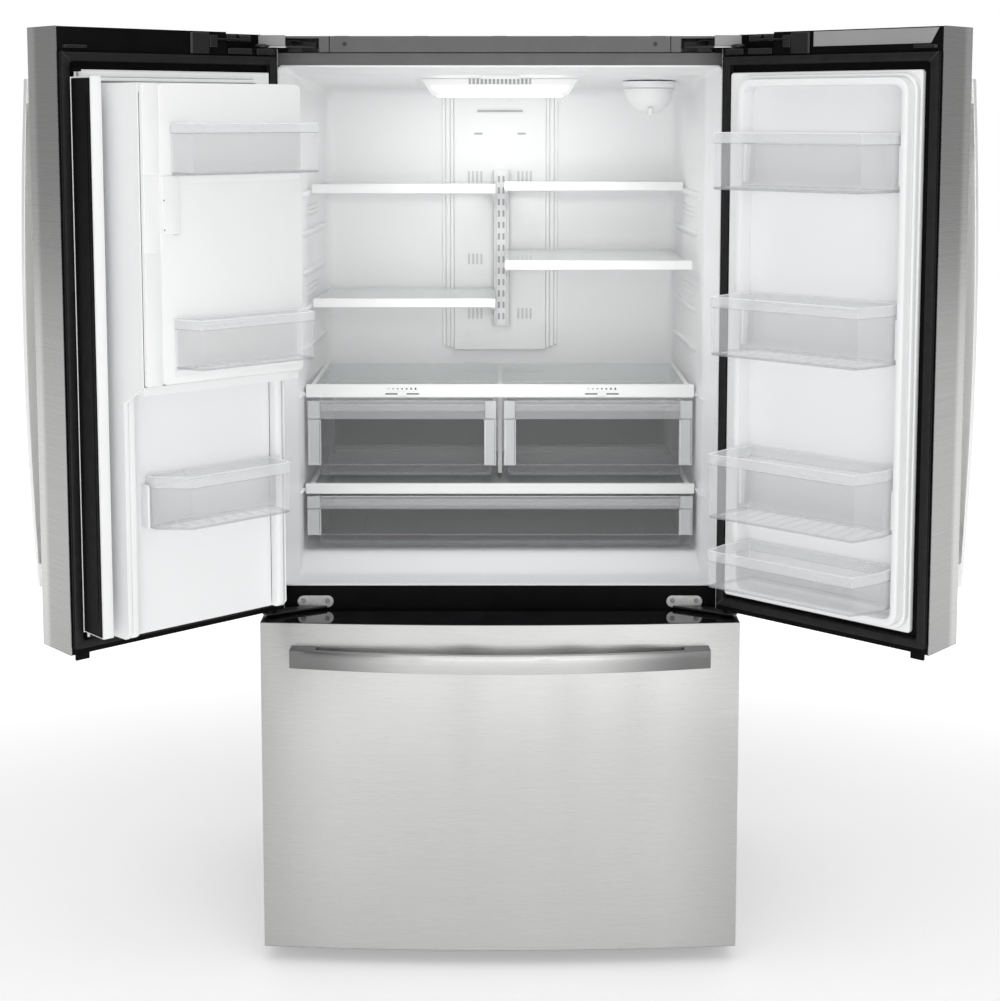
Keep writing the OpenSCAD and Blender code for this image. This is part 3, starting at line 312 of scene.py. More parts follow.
def fillet(points, r, n=5):
    """A convex outline with every corner rounded: n + 1 points at each."""
    out = []
    for i, (x, y) in enumerate(points):
        ax, ay = unit(points[i - 1][0] - x, points[i - 1][1] - y)
        nx, ny = points[(i + 1) % len(points)]
        bx, by = unit(nx - x, ny - y)
        half = math.acos(max(-1, min(1, ax * bx + ay * by))) / 2
        reach = r / math.tan(half)
        mx, my = unit(ax + bx, ay + by)
        cx, cy = x + mx * r / math.sin(half), y + my * r / math.sin(half)
        s = (x + ax * reach - cx, y + ay * reach - cy)
        e = (x + bx * reach - cx, y + by * reach - cy)
        a0, a1 = math.atan2(s[1], s[0]), math.atan2(e[1], e[0])
        while a1 < a0:
            a1 += 2 * math.pi
        for k in range(n + 1):
            a = a0 + (a1 - a0) * k / n
            out.append((cx + r * math.cos(a), cy + r * math.sin(a)))
    return out


def rect(x0, y0, x1, y1):
    """A rectangle's corners, anticlockwise."""
    return [(x0, y0), (x1, y0), (x1, y1), (x0, y1)]


def rounded(x0, y0, x1, y1, r, n=5):
    return fillet(rect(x0, y0, x1, y1), r, n)


def loft(loops, mats=None, caps=(0, 0)):
    """Loops of equal counts joined by quads, with an end face on each. mats has a number for each gap."""
    verts = [p for loop in loops for p in loop]
    n = len(loops[0])
    faces, kinds = [], []
    for i in range(len(loops) - 1):
        for k in range(n):
            a, b = i * n + k, i * n + (k + 1) % n
            faces.append((a, b, b + n, a + n))
            kinds.append(mats[i] if mats else 0)
    if caps[0] is not None:
        faces.append(tuple(range(n))[::-1])
        kinds.append(caps[0])
    if caps[1] is not None:
        faces.append(tuple(range(len(verts) - n, len(verts))))
        kinds.append(caps[1])
    return verts, faces, kinds


def prism(outline, z0, z1, mat=0):
    return loft([[(x, y, z0) for x, y in outline], [(x, y, z1) for x, y in outline]], [mat], (mat, mat))


def block(lo, hi, mat=0):
    return prism(rect(lo[0], lo[1], hi[0], hi[1]), lo[2], hi[2], mat)


def plate_xz(outline, y0, y1, mat=0):
    """An outline drawn in x and z, as thick as y0 to y1."""
    v, f, k = prism(outline, y0, y1, mat)
    return [(x, y, z) for x, z, y in v], f, k


def plate_yz(outline, x0, x1, mat=0):
    """An outline drawn in y and z, as thick as x0 to x1."""
    v, f, k = prism(outline, x0, x1, mat)
    return [(x, y, z) for y, z, x in v], f, k


def disc(centre, axis, r, length, n=24, mat=0, dome=0.0):
    """A round rod from centre along +axis, 'x', 'y' or 'z', with a domed end."""
    rings = [(0.0, r), (length - dome, r)]
    if dome:
        rings += [(length - dome * (1 - math.sin(a)), r * math.cos(a)) for a in (0.5, 1.0, 1.4)]
    loops = []
    for along, rr in rings:
        loop = []
        for i in range(n):
            c, s = rr * math.cos(2 * math.pi * i / n), rr * math.sin(2 * math.pi * i / n)
            p = {"x": (along, c, s), "y": (s, along, c), "z": (c, s, along)}[axis]
            loop.append((centre[0] + p[0], centre[1] + p[1], centre[2] + p[2]))
        loops.append(loop)
    return loft(loops, [mat] * (len(loops) - 1), (mat, mat))


def tube(path, r, n=10, mat=0):
    """A round tube along points, its ends closed."""
    pts = [Vector(p) for p in path]
    loops, side = [], None
    for i, p in enumerate(pts):
        t = (pts[min(i + 1, len(pts) - 1)] - pts[max(i - 1, 0)]).normalized()
        if side is None:
            side = t.orthogonal().normalized()
        side = (side - t * side.dot(t)).normalized()
        up = t.cross(side)
        loops.append([tuple(p + side * (r * math.cos(2 * math.pi * k / n))
                            + up * (r * math.sin(2 * math.pi * k / n))) for k in range(n)])
    return loft(loops, [mat] * (len(loops) - 1), (mat, mat))


def smooth_path(points, steps=8):
    """A smooth curve through the points."""
    pts = [Vector(p) for p in points]
    out = []
    for i in range(len(pts) - 1):
        p0, p1, p2, p3 = pts[max(i - 1, 0)], pts[i], pts[i + 1], pts[min(i + 2, len(pts) - 1)]
        for k in range(steps):
            t = k / steps
            out.append(0.5 * ((2 * p1) + (p2 - p0) * t + (2 * p0 - 5 * p1 + 4 * p2 - p3) * t * t
                              + (3 * p1 - p0 - 3 * p2 + p3) * t * t * t))
    out.append(pts[-1])
    return [tuple(p) for p in out]


def tray(points, z0, z1, wall=2.6, r=8.0, rim=14.0, rim_out=1.4, draft=2.0, foot=6.0, floor_t=2.6):
    """A clear moulded tray: frosted thicker rim (1), painted shade along the foot and in a thin band under
    the rim (2), painted highlight along the top edge (3).
    """
    loops, mats = [], []

    def ring(d, z, mat=0):
        loops.append([(x, y, z) for x, y in fillet(inset(points, d), max(0.8, r - d))])
        mats.append(mat)

    # material 2 paints shade along the foot and under the rim; material 3 paints a highlight along the top
    # edge
    turns = (0, 0.4, 0.8, 1.2, math.pi / 2)
    for a in turns:
        ring(draft + rim_out + foot * (1 - math.sin(a)), z0 + foot * (1 - math.cos(a)), 2 if a < 1.5 else 0)
    ring(rim_out, z1 - rim - 1.2, 2)
    ring(rim_out, z1 - rim, 1)
    ring(0.4, z1 - rim + 0.6, 1)
    ring(0.0, z1 - rim + 1.4, 1)
    ring(0.0, z1 - 1.0, 3)
    ring(0.8, z1, 3)
    ring(rim_out + wall - 0.8, z1, 3)
    ring(rim_out + wall, z1 - 1.0, 1)
    ring(rim_out + wall, z1 - rim, 0)
    for a in turns[::-1]:
        ring(draft + rim_out + wall + (foot - 1) * (1 - math.sin(a)),
             z0 + floor_t + (foot - 1) * (1 - math.cos(a)))
    return loft(loops, mats[:-1], (0, 0))


def make(name, parts, mats, body="cabinet", bevel=0.0, segments=3, replaces=(),
         crease=32.0, open_mesh=False):
    """One object from mesh parts drawn in its body's coordinates, riding on that body.

    Edges sharper than crease stay sharp, the rest shade smooth. An open mesh keeps its own normals.
    """
    place = PLACE_OF.get(body, on_case)
    mats = mats if isinstance(mats, list) else [mats]
    bm = bmesh.new()
    for verts, faces, kinds in parts:
        vs = [bm.verts.new(place(*p)) for p in verts]
        for f, k in zip(faces, kinds):
            try:
                face = bm.faces.new([vs[i] for i in f])
            except ValueError:
                continue
            face.material_index = k
    if not open_mesh:
        bmesh.ops.recalc_face_normals(bm, faces=bm.faces[:])
    bm.normal_update()
    for f in bm.faces:
        f.smooth = True
    for e in bm.edges:
        if len(e.link_faces) == 2 and e.calc_face_angle(0.0) > math.radians(crease):
            e.smooth = False
    mesh = bpy.data.meshes.new(name)
    bm.to_mesh(mesh)
    bm.free()
    for m in mats:
        mesh.materials.append(m)
    o = bpy.data.objects.new(name, mesh)
    scene.collection.objects.link(o)
    if bevel:
        round_edges(o, bevel, segments, 35)
    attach(o, body)
    if replaces:
        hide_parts(*replaces)


# -------------------------------------------------- the fresh compartment ----
FLARE = ((1.2, 418.5), (80.0, 396.0), (520.0, 380.0))
CEILING = ((1.2, 1716.5), (30.0, 1716.5), (80.0, 1701.0), (520.0, 1681.0))
SILL = ((1.2, 719.0), (74.0, 719.0), (122.0, 755.0), (520.0, 758.0))
CORNER = ((1.2, 10.0), (44.0, 12.0), (66.0, 5.0), (142.0, 5.0), (220.0, 28.0), (520.0, 28.0))


def along(table, y):
    """The value at y of a table of y, value."""
    for (y0, a), (y1, b) in zip(table, table[1:]):
        if y <= y1:
            return a + (b - a) * (y - y0) / (y1 - y0)
    return table[-1][1]


def soft_along(table, y, reach=7.0):
    """The table's value with its corners rounded off."""
    return sum(along(table, max(table[0][0], min(y + reach * k, table[-1][0])))
               for k in (-1, -0.5, 0, 0.5, 1)) / 5


def fresh_loop(y, pull=0.0):
    """The compartment's outline at depth y, drawn in by pull."""
    w = soft_along(FLARE, y) - pull
    z0, z1 = soft_along(SILL, y) + pull, soft_along(CEILING, y) - pull
    r = along(CORNER, y)
    return [(x, y, z) for x, z in rounded(-w, z0, w, z1, r, 8)]


steps = [1.2, 4, 12, 20, 24, 28, 32, 36, 44, 56, 66, 70, 74, 78, 82, 88, 96, 106, 114, 118, 122, 126, 132,
         160, 220, 300, 400, 470, 497]
loops = [fresh_loop(y) for y in steps]
for a in (0.26, 0.52, 0.79, 1.05, 1.31, 1.5):
    loops.append(fresh_loop(497 + 22 * math.sin(a), 22 * (1 - math.cos(a))))
loops.append(fresh_loop(519.6, 24))
cavity = loft(loops, None, (None, 0))
make("fresh_inner_liner", [cavity], white_liner, crease=50, open_mesh=True, replaces=["fresh_liner"])


def wall_ledge(side, y0, y1, z, high=13.0, out=8.5, lift=0.0):
    """A moulded ledge on a side wall, swelling out of it and fading back in."""
    loops = []
    count = 16
    for i in range(count + 1):
        t = i / count
        y = y0 + (y1 - y0) * t
        grow = math.sin(min(1.0, t * 7, (1 - t) * 7) * math.pi / 2)
        x = along(FLARE, y)
        o, h = out * grow, high * (0.35 + 0.65 * grow)
        zc = z + lift * t
        section = [(x + 1.5, zc - h), (x - o * 0.35, zc - h * 0.8), (x - o * 0.9, zc - h * 0.25),
                   (x - o, zc), (x - o, zc + h * 0.18), (x - o * 0.8, zc + h * 0.3),
                   (x + 1.5, zc + h * 0.34)]
        loops.append([(side * sx, y, sz) for sx, sz in section])
    return loft(loops)


ledges = []
for side in (-1, 1):
    for z in (1470, 1392, 1312, 1238, 1160):
        ledges.append(wall_ledge(side, 150, 486, z))
    for z in (1442, 1432, 1422, 1282, 1272, 1262):
        ledges.append(wall_ledge(side, 190, 380, z, 3.4, 2.6))
    front = 92 if side < 0 else 60
    ledges.append(wall_ledge(side, front, 134, 1074, 9, 6))
    ledges.append(wall_ledge(side, front, 124, 882, 8, 6))
    ledges.append(wall_ledge(side, 140, 500, 1068, 8, 14))
    ledges.append(wall_ledge(side, 140, 500, 874, 8, 14))
ledges += [block((x, 262, 748), (x + 12, 500, 762.4)) for x in (-300, 288)]
make("side_wall_ledges", ledges, white_liner, crease=40)

# the compartment's front lip, a rounded bead that hides the liner's edge
lip = []
for turn in (0, 0.5, 1.0, 1.57, 2.1, 2.6):
    grow, y = 2.2 * math.cos(turn) + 0.4, 1.4 - 1.3 * math.sin(turn)
    lip.append([(x, y, z) for x, z in rounded(-418.5 - grow, 719 - grow, 418.5 + grow, 1716.5 + grow,
                                              10 + grow, 8)])
make("mouth_bead", [loft(lip, None, (None, None))], white_liner, open_mesh=True)

# air tower: a flat centre with stepped flanks, slots and an intake grille
tower = [block((-100, 509, 1112), (100, 519.4, 1672))]
for side in (-1, 1):
    for i, (x0, x1, y) in enumerate(((100.4, 108, 511.5), (108.4, 118, 514), (118.4, 126, 516.5))):
        tower.append(block((min(side * x0, side * x1), y, 1116 + 3 * i),
                           (max(side * x0, side * x1), 519.4, 1672)))
tower.append(plate_xz(rounded(-56, 1628, 56, 1640, 5, 4), 507.0, 508.9))
make("air_tower_cover", tower, white_plastic, bevel=1.2, replaces=["air_tower"])
# the slots and slits are flat grey plates on the cover: painted shade in place of openings
slots = [plate_xz(rounded(-50, 1631.4, 50, 1636.6, 2.4, 4), 506.6, 507.0)]
for x in (-56, 38):
    slots.append(plate_xz(rounded(x, 1583, x + 18, 1587, 1.6, 3), 508.4, 508.9))
slits = []
for z in (1480, 1300, 1180):
    for x in (-70, 38):
        for k in range(4):
            slits.append(plate_xz(rounded(x + k * 9, z, x + k * 9 + 4.4, z + 24, 2, 3), 508.4, 508.9))
make("air_slots", slots, painted_shadow_grey)
make("air_slits", slits, shade_grey)

# shelf tracks: pressed channels with paired slots
tracks, track_painted_shade = [], []
x0, z0, z1 = -13, 1166, 1506
tracks.append(block((x0, 500.4, z0), (x0 + 32, 506.5, z1)))
for a, b in ((x0, x0 + 3.2), (x0 + 28.8, x0 + 32)):
    tracks.append(block((a, 492.4, z0), (b, 500, z1)))
tracks.append(plate_xz(rounded(x0 + 5, z0 + 4, x0 + 27, z1 - 4, 4, 4), 499.2, 500.2))
# the slots are flat grey plates: painted shade in place of holes
for k in range(13):
    z = z0 + 14 + 25 * k
    for a in (8.4, 18.4):
        track_painted_shade.append(plate_xz(rounded(x0 + a, z, x0 + a + 4.4, z + 14, 1.6, 3), 498.6, 499.1))
make("shelf_track", tracks, white_plastic, bevel=0.7, replaces=["shelf_supports"])
# painted shade: dark lines down both edges of the track
for a in (x0 - 1.0, x0 + 32.2):
    track_painted_shade.append(block((a, 493, z0), (a + 0.8, 506, z1)))
make("track_slot_and_edge_shade", track_painted_shade, painted_shadow_grey)

# --------------------------------------------------------------- shelves ----
def soft_bar(section, cy, cz, ends):
    """A bar along x with one section, drawn in towards (cy, cz) at its ends: x and pull for each loop."""
    return loft([[(x, cy + (y - cy) * (1 - pull / 12), cz + (z - cz) * (1 - pull / 12)) for y, z in section]
                 for x, pull in ends])


# x0, x1, front and top of each shelf
SHELVES = ((-375, -9, 226, 1483), (-375, -9, 226, 1251), (9, 375, 132, 1336), (9, 375, 332, 1484))
trims, glass, edges = [], [], []
for x0, x1, y0, top in SHELVES:
    wall_x = 6 if x0 < 0 else 0
    wall_e = 6 if x0 > 0 else 0
    section = [(y0, top - 15), (y0 + 3, top - 16), (y0 + 14, top - 16), (y0 + 16, top - 14),
               (y0 + 16, top - 6.2), (y0 + 28, top - 5.6), (y0 + 28, top - 4.8), (y0 + 16, top - 4.6),
               (y0 + 9, top - 0.6), (y0 + 6, top + 2.4), (y0 + 3, top + 3), (y0 + 0.8, top + 1.8),
               (y0, top - 1)]
    ends = ((x0 - wall_x, 2.2), (x0 - wall_x + 0.8, 0.7), (x0 - wall_x + 2.4, 0), (x1 + wall_e - 2.4, 0),
            (x1 + wall_e - 0.8, 0.7), (x1 + wall_e, 2.2))
    trims.append(soft_bar(section, y0 + 9, top - 7, ends))
    trims.append(block((x0 + 4, 478, top - 14), (x1 - 4, 492, top - 4.6)))
    for ex in (x0 + 2, x1 - 9):
        trims.append(block((ex, y0 + 17, top - 12), (ex + 7, 478, top - 4.8)))
    glass.append(block((x0 + 1, y0 + 14, top - 4), (x1 - 1, 490, top)))
    edges.append(block((x0 + 1, y0 + 28.6, top - 4.7), (x1 - 1, y0 + 40, top - 4.2)))
    inner = x1 - 7 if x0 < 0 else x0 + 4
    arm = [(y0 + 20, top - 20), (y0 + 20, top - 12.4), (491.8, top - 12.4), (491.8, top - 60),
           (436, top - 42)]
    trims.append(plate_yz(arm, inner, inner + 3))
make("shelf_trims", trims, white_plastic, bevel=0.8, replaces=["shelf_frames"])
make("shelf_glass", glass, pane_glass, bevel=0.8, replaces=["shelf_panes"])
make("glass_printed_edge", edges, frosted)

# ------------------------------------------------- crisper and deli covers ----
cover = []
for top, y0, height in ((1089, 148, 27), (892, 124, 21)):
    section = [(y0, top - height + 1.6), (y0 + 1.6, top - height), (y0 + 12, top - height),
               (y0 + 14, top - height + 2), (y0 + 14, top - 8), (y0 + 30, top - 6), (y0 + 30, top - 4.6),
               (y0 + 12, top - 3.4), (y0 + 8, top - 0.4), (y0 + 4, top), (y0 + 1.2, top - 1.2),
               (y0, top - 3)]
    ends = ((-389, 2.0), (-388.2, 0.6), (-386.5, 0), (386.5, 0), (388.2, 0.6), (389, 2.0))
    cover.append(soft_bar(section, y0 + 7, top - height / 2, ends))
    for side in (-1, 1):
        x = side * 372
        cover.append(block((min(x, x + side * 9), y0 + 30.4, top - 10),
                           (max(x, x + side * 9), 490, top - 3.4)))
    cover.append(block((-371, 482, top - 10), (371, 491, top - 3.4)))
cover.append(block((-4, 208, 897), (4, 480, 1081)))
make("drawer_covers", cover, white_plastic, bevel=0.7, replaces=["crisper_cover", "deli_cover"])
make("crisper_glass", [block((-371, 163, 1082.5), (371, 481.5, 1086.6))], pane_glass, bevel=0.8)
make("deli_glass", [block((-371, 139, 885.5), (371, 481.5, 889.4))], pane_glass, bevel=0.8)

# humidity controls: a dark slot with a stepped scale, and the sliding tab
scale = []
for cx in (-196, 204):
    scale.append(plate_xz(rounded(cx - 34, 1068.6, cx + 34, 1071.0, 1.1, 3), 147.5, 147.9))
    for k in range(7):
        tall = 1.0 + 0.55 * k
        scale.append(plate_xz(rect(cx - 27 + 9 * k - 1.6, 1080.2 - tall / 2, cx - 27 + 9 * k + 1.6,
                                   1080.2 + tall / 2), 147.6, 147.9))
make("humidity_scales", scale, grey_plastic)
for cx, body in ((-196, "humidity_slider_left"), (204, "humidity_slider_right")):
    tab = plate_xz(rounded(cx - 9, 1066.4, cx + 9, 1073.6, 2.6, 4), 143.2, 147.2)
    grip = [plate_xz(rect(cx + k - 0.6, 1067.6, cx + k + 0.6, 1072.4), 142.6, 143.4) for k in (-4, 0, 4)]
    make(body + "_tab", [tab, *grip], white_plastic, body, bevel=0.8, replaces=[body])


# -------------------------------------------------------- clear drawers ----
def front_panel(x0, x1, y0, z0, z1, column, head, foot):
    """A moulded drawer front: a frosted header and milky columns round a clear window.

    Materials are BIN_MATS: 0 clear, 1 frosted, 2 painted shade on edges, 3 painted highlight on edges, 4
    milky.
    """
    parts = [block((x0 + column[0] - 2, y0, z1 - head), (x1 - column[1] + 2, y0 + 5, z1 - 1), 1),
             block((x0, y0 - 0.6, z1 - head), (x0 + column[0] - 2.4, y0 + 5, z1), 4),
             block((x1 - column[1] + 2.4, y0 - 0.6, z1 - head), (x1, y0 + 5, z1), 4),
             # painted highlight along the window's top, painted shade above its foot
             block((x0 + column[0], y0 - 0.4, z1 - 1), (x1 - column[1], y0 + 5.2, z1), 3),
             block((x0 + column[0], y0 + 1, z0 + foot), (x1 - column[1], y0 + 2.2, z0 + foot + 2), 2),
             block((x0, y0 - 0.4, z1 - head - 1.6), (x1, y0 + 3.4, z1 - head - 0.2), 0),
             block((x0 + column[0] + 0.3, y0 + 1.6, z0 + foot + 0.3),
                   (x1 - column[1] - 0.3, y0 + 4, z1 - head - 1.9), 0)]
    for a, b in ((x0, x0 + column[0]), (x1 - column[1], x1)):
        parts.append(block((a, y0, z0 + foot), (b, y0 + 4.6, z1 - head - 1.9), 4))
        # a painted highlight line and a painted shade line down each column
        parts.append(block((a + 2, y0 - 0.9, z0 + foot + 3), (a + 3.2, y0 - 0.1, z1 - head - 4), 3))
        parts.append(block((b - 3.4, y0 - 0.9, z0 + foot + 3), (b - 2.2, y0 - 0.1, z1 - head - 4), 2))
    section = [(y0 + 4.6, z0), (y0 + 4.6, z0 + foot - 0.3), (y0, z0 + foot - 0.3),
               (y0 - 0.6, z0 + foot * 0.6), (y0 + 0.2, z0 + foot * 0.25), (y0 + 1.6, z0)]
    parts.append(plate_yz(section, x0, x1))
    return parts


for side, body in ((-1, "crisper_left"), (1, "crisper_right")):
    a, b = (-386, -8) if side < 0 else (8, 386)
    columns = (26, 24) if side < 0 else (24, 26)
    ta, tb = (-372, -10) if side < 0 else (10, 372)
    bin_part = tray(rect(ta, 158, tb, 480), 898, 1046, 2.6, 16, 12, 1.4, 5, 10)
    make(body + "_bin", [bin_part, *front_panel(a, b, 152, 904, 1055, columns, 36, 20)], BIN_MATS, body,
         bevel=0.5, segments=2, replaces=[body])
pan = tray(rect(-372, 132.5, 372, 486), 763, 858, 2.6, 18, 12, 1.4, 5, 10)
make("deli_pan_bin", [pan, *front_panel(-386, 386, 126, 767, 866, (27, 27), 25, 20)], BIN_MATS, "deli_pan",
     bevel=0.5, segments=2, replaces=["deli_pan"])

# ------------------------------------------------------- ceiling fittings ----
LAMP_Y = (168.0, 318.0)
loops = []
for y, pull in ((LAMP_Y[0], 1.4), (LAMP_Y[0] + 1.2, 0), (LAMP_Y[1] - 1.2, 0), (LAMP_Y[1], 1.4)):
    top = along(CEILING, y) - 0.5
    loops.append([(-156 + pull, y, top), (-137 + pull, y, 1665.6 + pull), (-133, y, 1664 + pull),
                  (133, y, 1664 + pull), (137 - pull, y, 1665.6 + pull), (156 - pull, y, top)])
fitting = [loft(loops)]
fitting += [block((x - 1.5, LAMP_Y[0] - 5, 1685.6), (x + 1.5, LAMP_Y[0] + 0.4, 1697))
            for x in range(-56, 57, 8)]
fitting += [block((-62, LAMP_Y[0] - 6, 1697.2), (62, LAMP_Y[0] + 0.4, 1698.4)),
            plate_xz(rounded(-38, 1694.5, 38, 1702, 3, 4), 76, 84),
            block((-30, 84, 1696), (30, 112, 1700.6))]
make("lamp_rib_shadows", [plate_xz(rect(-62, 1686, 62, 1697), LAMP_Y[0] - 0.5, LAMP_Y[0] - 0.2)], painted_shadow_grey)
make("ceiling_housings", fitting, white_plastic, bevel=0.8, replaces=["ceiling_fittings"])
lens = [plate_xz([(-114, 1666.4), (114, 1666.4), (133, 1677), (136, 1682.4), (-136, 1682.4), (-133, 1677)],
                 LAMP_Y[0] - 1.2, LAMP_Y[0] - 0.2),
        block((-125.5, LAMP_Y[0] + 8, 1661.6), (125.5, LAMP_Y[1] - 12, 1663.6))]
for k in range(24):
    x = -120 + 10.4 * k
    lens.append(block((x - 0.8, LAMP_Y[0] + 10, 1660.9), (x + 0.8, LAMP_Y[1] - 14, 1661.5)))
make("lamp_lens_ribbed", lens, lamp, bevel=0.4, segments=2, replaces=["light_lens"])

# water filter: a domed cap with a finger grip, under a round head
loops = []
for k in range(13):
    a = math.pi / 2 * k / 12
    rr, z = 50 * math.cos(a), 1679 - 52 * math.sin(a)
    loops.append([(301 + max(rr, 0.6) * math.cos(2 * math.pi * i / 40),
                   250 + max(rr, 0.6) * math.sin(2 * math.pi * i / 40), z) for i in range(40)])
dome = loft(loops)
make("water_filter_cap", [dome, block((297, 206, 1625.6), (305, 294, 1640))], white_plastic, "water_filter",
     bevel=1.5, replaces=["water_filter"])
make("filter_head", [disc((301, 250, 1679.6), "z", 52, 12, 48), disc((301, 250, 1684), "z", 55, 9, 48)],
     white_plastic, bevel=1.0)

# ------------------------------------------------------------------ doors ----
def ring_frame(outer, inner, p0, p1, r_out, r_in, mat=0, soft=1.2):
    """A frame in u and z, as deep as p0 to p1, its front edges rounded."""
    front = ((0, p0), (0, p1 - soft), (-soft * 0.3, p1 - soft * 0.3), (-soft, p1))
    rings = [(outer, grow, r_out, p) for grow, p in front]
    rings += [(inner, -grow, r_in, p) for grow, p in front[::-1]]
    loops = []
    for (u0, z0, u1, z1), grow, r, p in rings:
        outline = rounded(u0 - grow, z0 - grow, u1 + grow, z1 + grow, max(0.8, r + grow), 6)
        loops.append([(u, p, z) for u, z in outline])
    verts, faces, kinds = loft(loops, [mat] * 7, (None, None))
    n = len(loops[0])
    for k in range(n):  # closes the back
        faces.append((7 * n + k, 7 * n + (k + 1) % n, (k + 1) % n, k))
        kinds.append(mat)
    return verts, faces, kinds


for side in ("left", "right"):
    body = side + "_door"
    # magnetic seal: a bellows with two lips, mitred round the door
    seal = [ring_frame((10, 700, 447, 1732), (25.6, 716, 431, 1716), 0.2, 3.6, 3, 3),
            ring_frame((12.5, 702.5, 444.5, 1729.5), (23, 713.4, 433.6, 1718.6), 3.8, 6.4, 3, 3),
            ring_frame((10.4, 700.4, 446.6, 1731.6), (24.6, 715, 432, 1717), 6.8, 11.4, 4, 3, 0, 2.0)]
    make(side + "_seal", seal, rubber, body, replaces=[side + "_gasket"])
    mitres = []
    for u0, z0, u1, z1 in ((9.5, 699.5, 27, 717), (9.5, 1732.5, 27, 1715), (447.5, 699.5, 430, 717),
                           (447.5, 1732.5, 430, 1715)):
        sign = 0.5 if (u1 - u0) * (z1 - z0) > 0 else -0.5
        line = [(u0, z0 + sign), (u0 + sign, z0), (u1, z1 - sign), (u1 - sign, z1)]
        mitres.append(plate_xz(line, 11.2, 11.7))
    make(side + "_seal_mitres", mitres, grey_plastic, body)

# right door: a plate with a double moulded rim round the shelves
rim = [ring_frame((25.5, 723.5, 418.5, 1702.4), (56, 732, 412, 1694), 0.2, 9.0, 6, 20, 0, 3),
       ring_frame((60, 736, 408, 1690), (74, 750, 394, 1676), 0.2, 40, 26, 14, 0, 4.5),
       ring_frame((51, 728, 415, 1697), (60.6, 736.6, 407.4, 1689.4), 0.2, 21, 30, 25, 0, 4),
       block((54, 0.2, 730), (414, 7.2, 1696))]
for z in (1493, 1195, 897):  # lugs that carry the bins
    for u0, u1 in ((74.2, 79.5), (391.4, 393.8)):
        rim.append(block((u0, 8, z + 12), (u1, 36, z + 80)))
make("right_inner_panel", rim, white_liner, "right_door", bevel=0.8, segments=2, replaces=["right_liner"],
     crease=40)

RIGHT_BIN = [(80, 8.2), (391, 8.2), (391, 60), (373, 130), (70, 132), (68, 72)]


def floor_ribs(outline, z, count):
    """Low frosted ribs across a bin's floor, kept clear of its walls."""
    us, ps = zip(*outline)
    u0, u1 = min(us) + 14, max(us) - 30
    middles = [u0 + (u1 - u0) * k / (count - 1) for k in range(count)]
    return [block((u - 0.8, min(ps) + 8, z), (u + 0.8, max(ps) - 26, z + 1.3), 1) for u in middles]


bins = []
for z0, z1 in ((1493, 1595), (1195, 1302), (897, 1016)):
    bins.append(tray(RIGHT_BIN, z0, z1, 2.6, 6, 19, 1.6, 1.2, 5))
    bins += floor_ribs(RIGHT_BIN, z0 + 2.8, 12)


def lift_low(u, p, z):
    """The lowest bin's floor rises towards the front."""
    rise = 2.0 * min(1.0, max(0.0, (p - 40) / 55)) + (2.0 if p > 95 else 0)
    return (u, p, z + rise * max(0.0, min(1.0, (800 - z) / 30)))


verts, faces, kinds = tray(RIGHT_BIN, 764, 838, 2.6, 6, 19, 1.6, 1.2, 5)
bins.append(([lift_low(*v) for v in verts], faces, kinds))
make("right_bins", bins, BIN_MATS, "right_door", replaces=["right_door_bins"])

# left door: the ice compartment and the dike below it


def left_wall(profile, u0, u1, taper=0.0):
    """A side wall drawn as p and z. taper widens its foot, at the door, on the u1 side."""
    return loft([[(u + widen * (1 - min(1.0, p / ICE_BOX_DEPTH)), p, z) for p, z in profile]
                 for u, widen in ((u0, 0), (u1, taper))])


ICE_BOX_DEPTH = 150.0
SIDE = [(0.4, 724.2), (84, 724.2), (94.6, 734.6), (95, 1138), (150, 1170), (150, 1679), (0.4, 1679)]
HINGE_SIDE = [(0.4, 724.2), (84, 724.2), (94.6, 734.6), (95, 1138), (142.6, 1166), (142.6, 1679),
              (0.4, 1679)]
shell = [left_wall(HINGE_SIDE, 61.6, 63.2), left_wall(SIDE, 384, 386.5, 13.5),
         block((63.4, 0.4, 1663), (87, 142.6, 1678.8)), block((63.4, 0.4, 1155), (87, 142.6, 1170.6)),
         block((87.1, 0.4, 1663), (383.8, 150, 1679)), block((87.1, 0.4, 1155), (383.8, 149, 1170.6)),
         block((25.5, 0.2, 723.5), (418.5, 7.5, 1702.4))]
make("ice_compartment_shell", shell, white_liner, "left_door", bevel=2.6, segments=4,
     replaces=["left_liner"])
# thin raised flange at the top and the steps beside the bar
flange = [ring_frame((27, 725, 417, 1701), (56, 729, 402, 1690), 7.6, 11.2, 6, 12, 0, 3),
          ring_frame((58, 730, 400.5, 1689), (61, 733, 398, 1683), 7.6, 24, 10, 8, 0, 2)]
make("left_inner_flange", flange, white_liner, "left_door", crease=40)
# the lower part: a flat panel between two raised posts, with a narrow step beside each
PANEL = 72.0
posts = []
for u0, u1 in ((367, 383.6), (63.6, 79)):
    section = fillet([(PANEL - 4, u0), (93, u0), (93, u1), (PANEL - 4, u1)], 6, 5)
    loops = [[(u, p - drop, z) for p, u in section]
             for z, drop in ((725, 8), (728, 3), (734, 0), (1150, 0))]
    posts.append(loft(loops))
posts += [block((79.4, PANEL - 4, 724.6), (366.6, PANEL, 1153)),
          block((63.4, 8, 724.2), (383.6, PANEL - 4.2, 728)),
          plate_xz(rounded(84, 728, 362, 1150, 6, 4), PANEL + 0.1, PANEL + 1.0)]
for u0, u1 in ((344.6, 349), (77, 81.4)):
    posts.append(plate_yz(rounded(PANEL + 1, 914, PANEL + 22, 990, 3, 3), u0, u1))
make("left_dike_posts", posts, white_liner, "left_door", bevel=1.6)

# the ice compartment's door: a main panel and the latch strip, with fine seams
P0, P1 = 150.8, 159.8


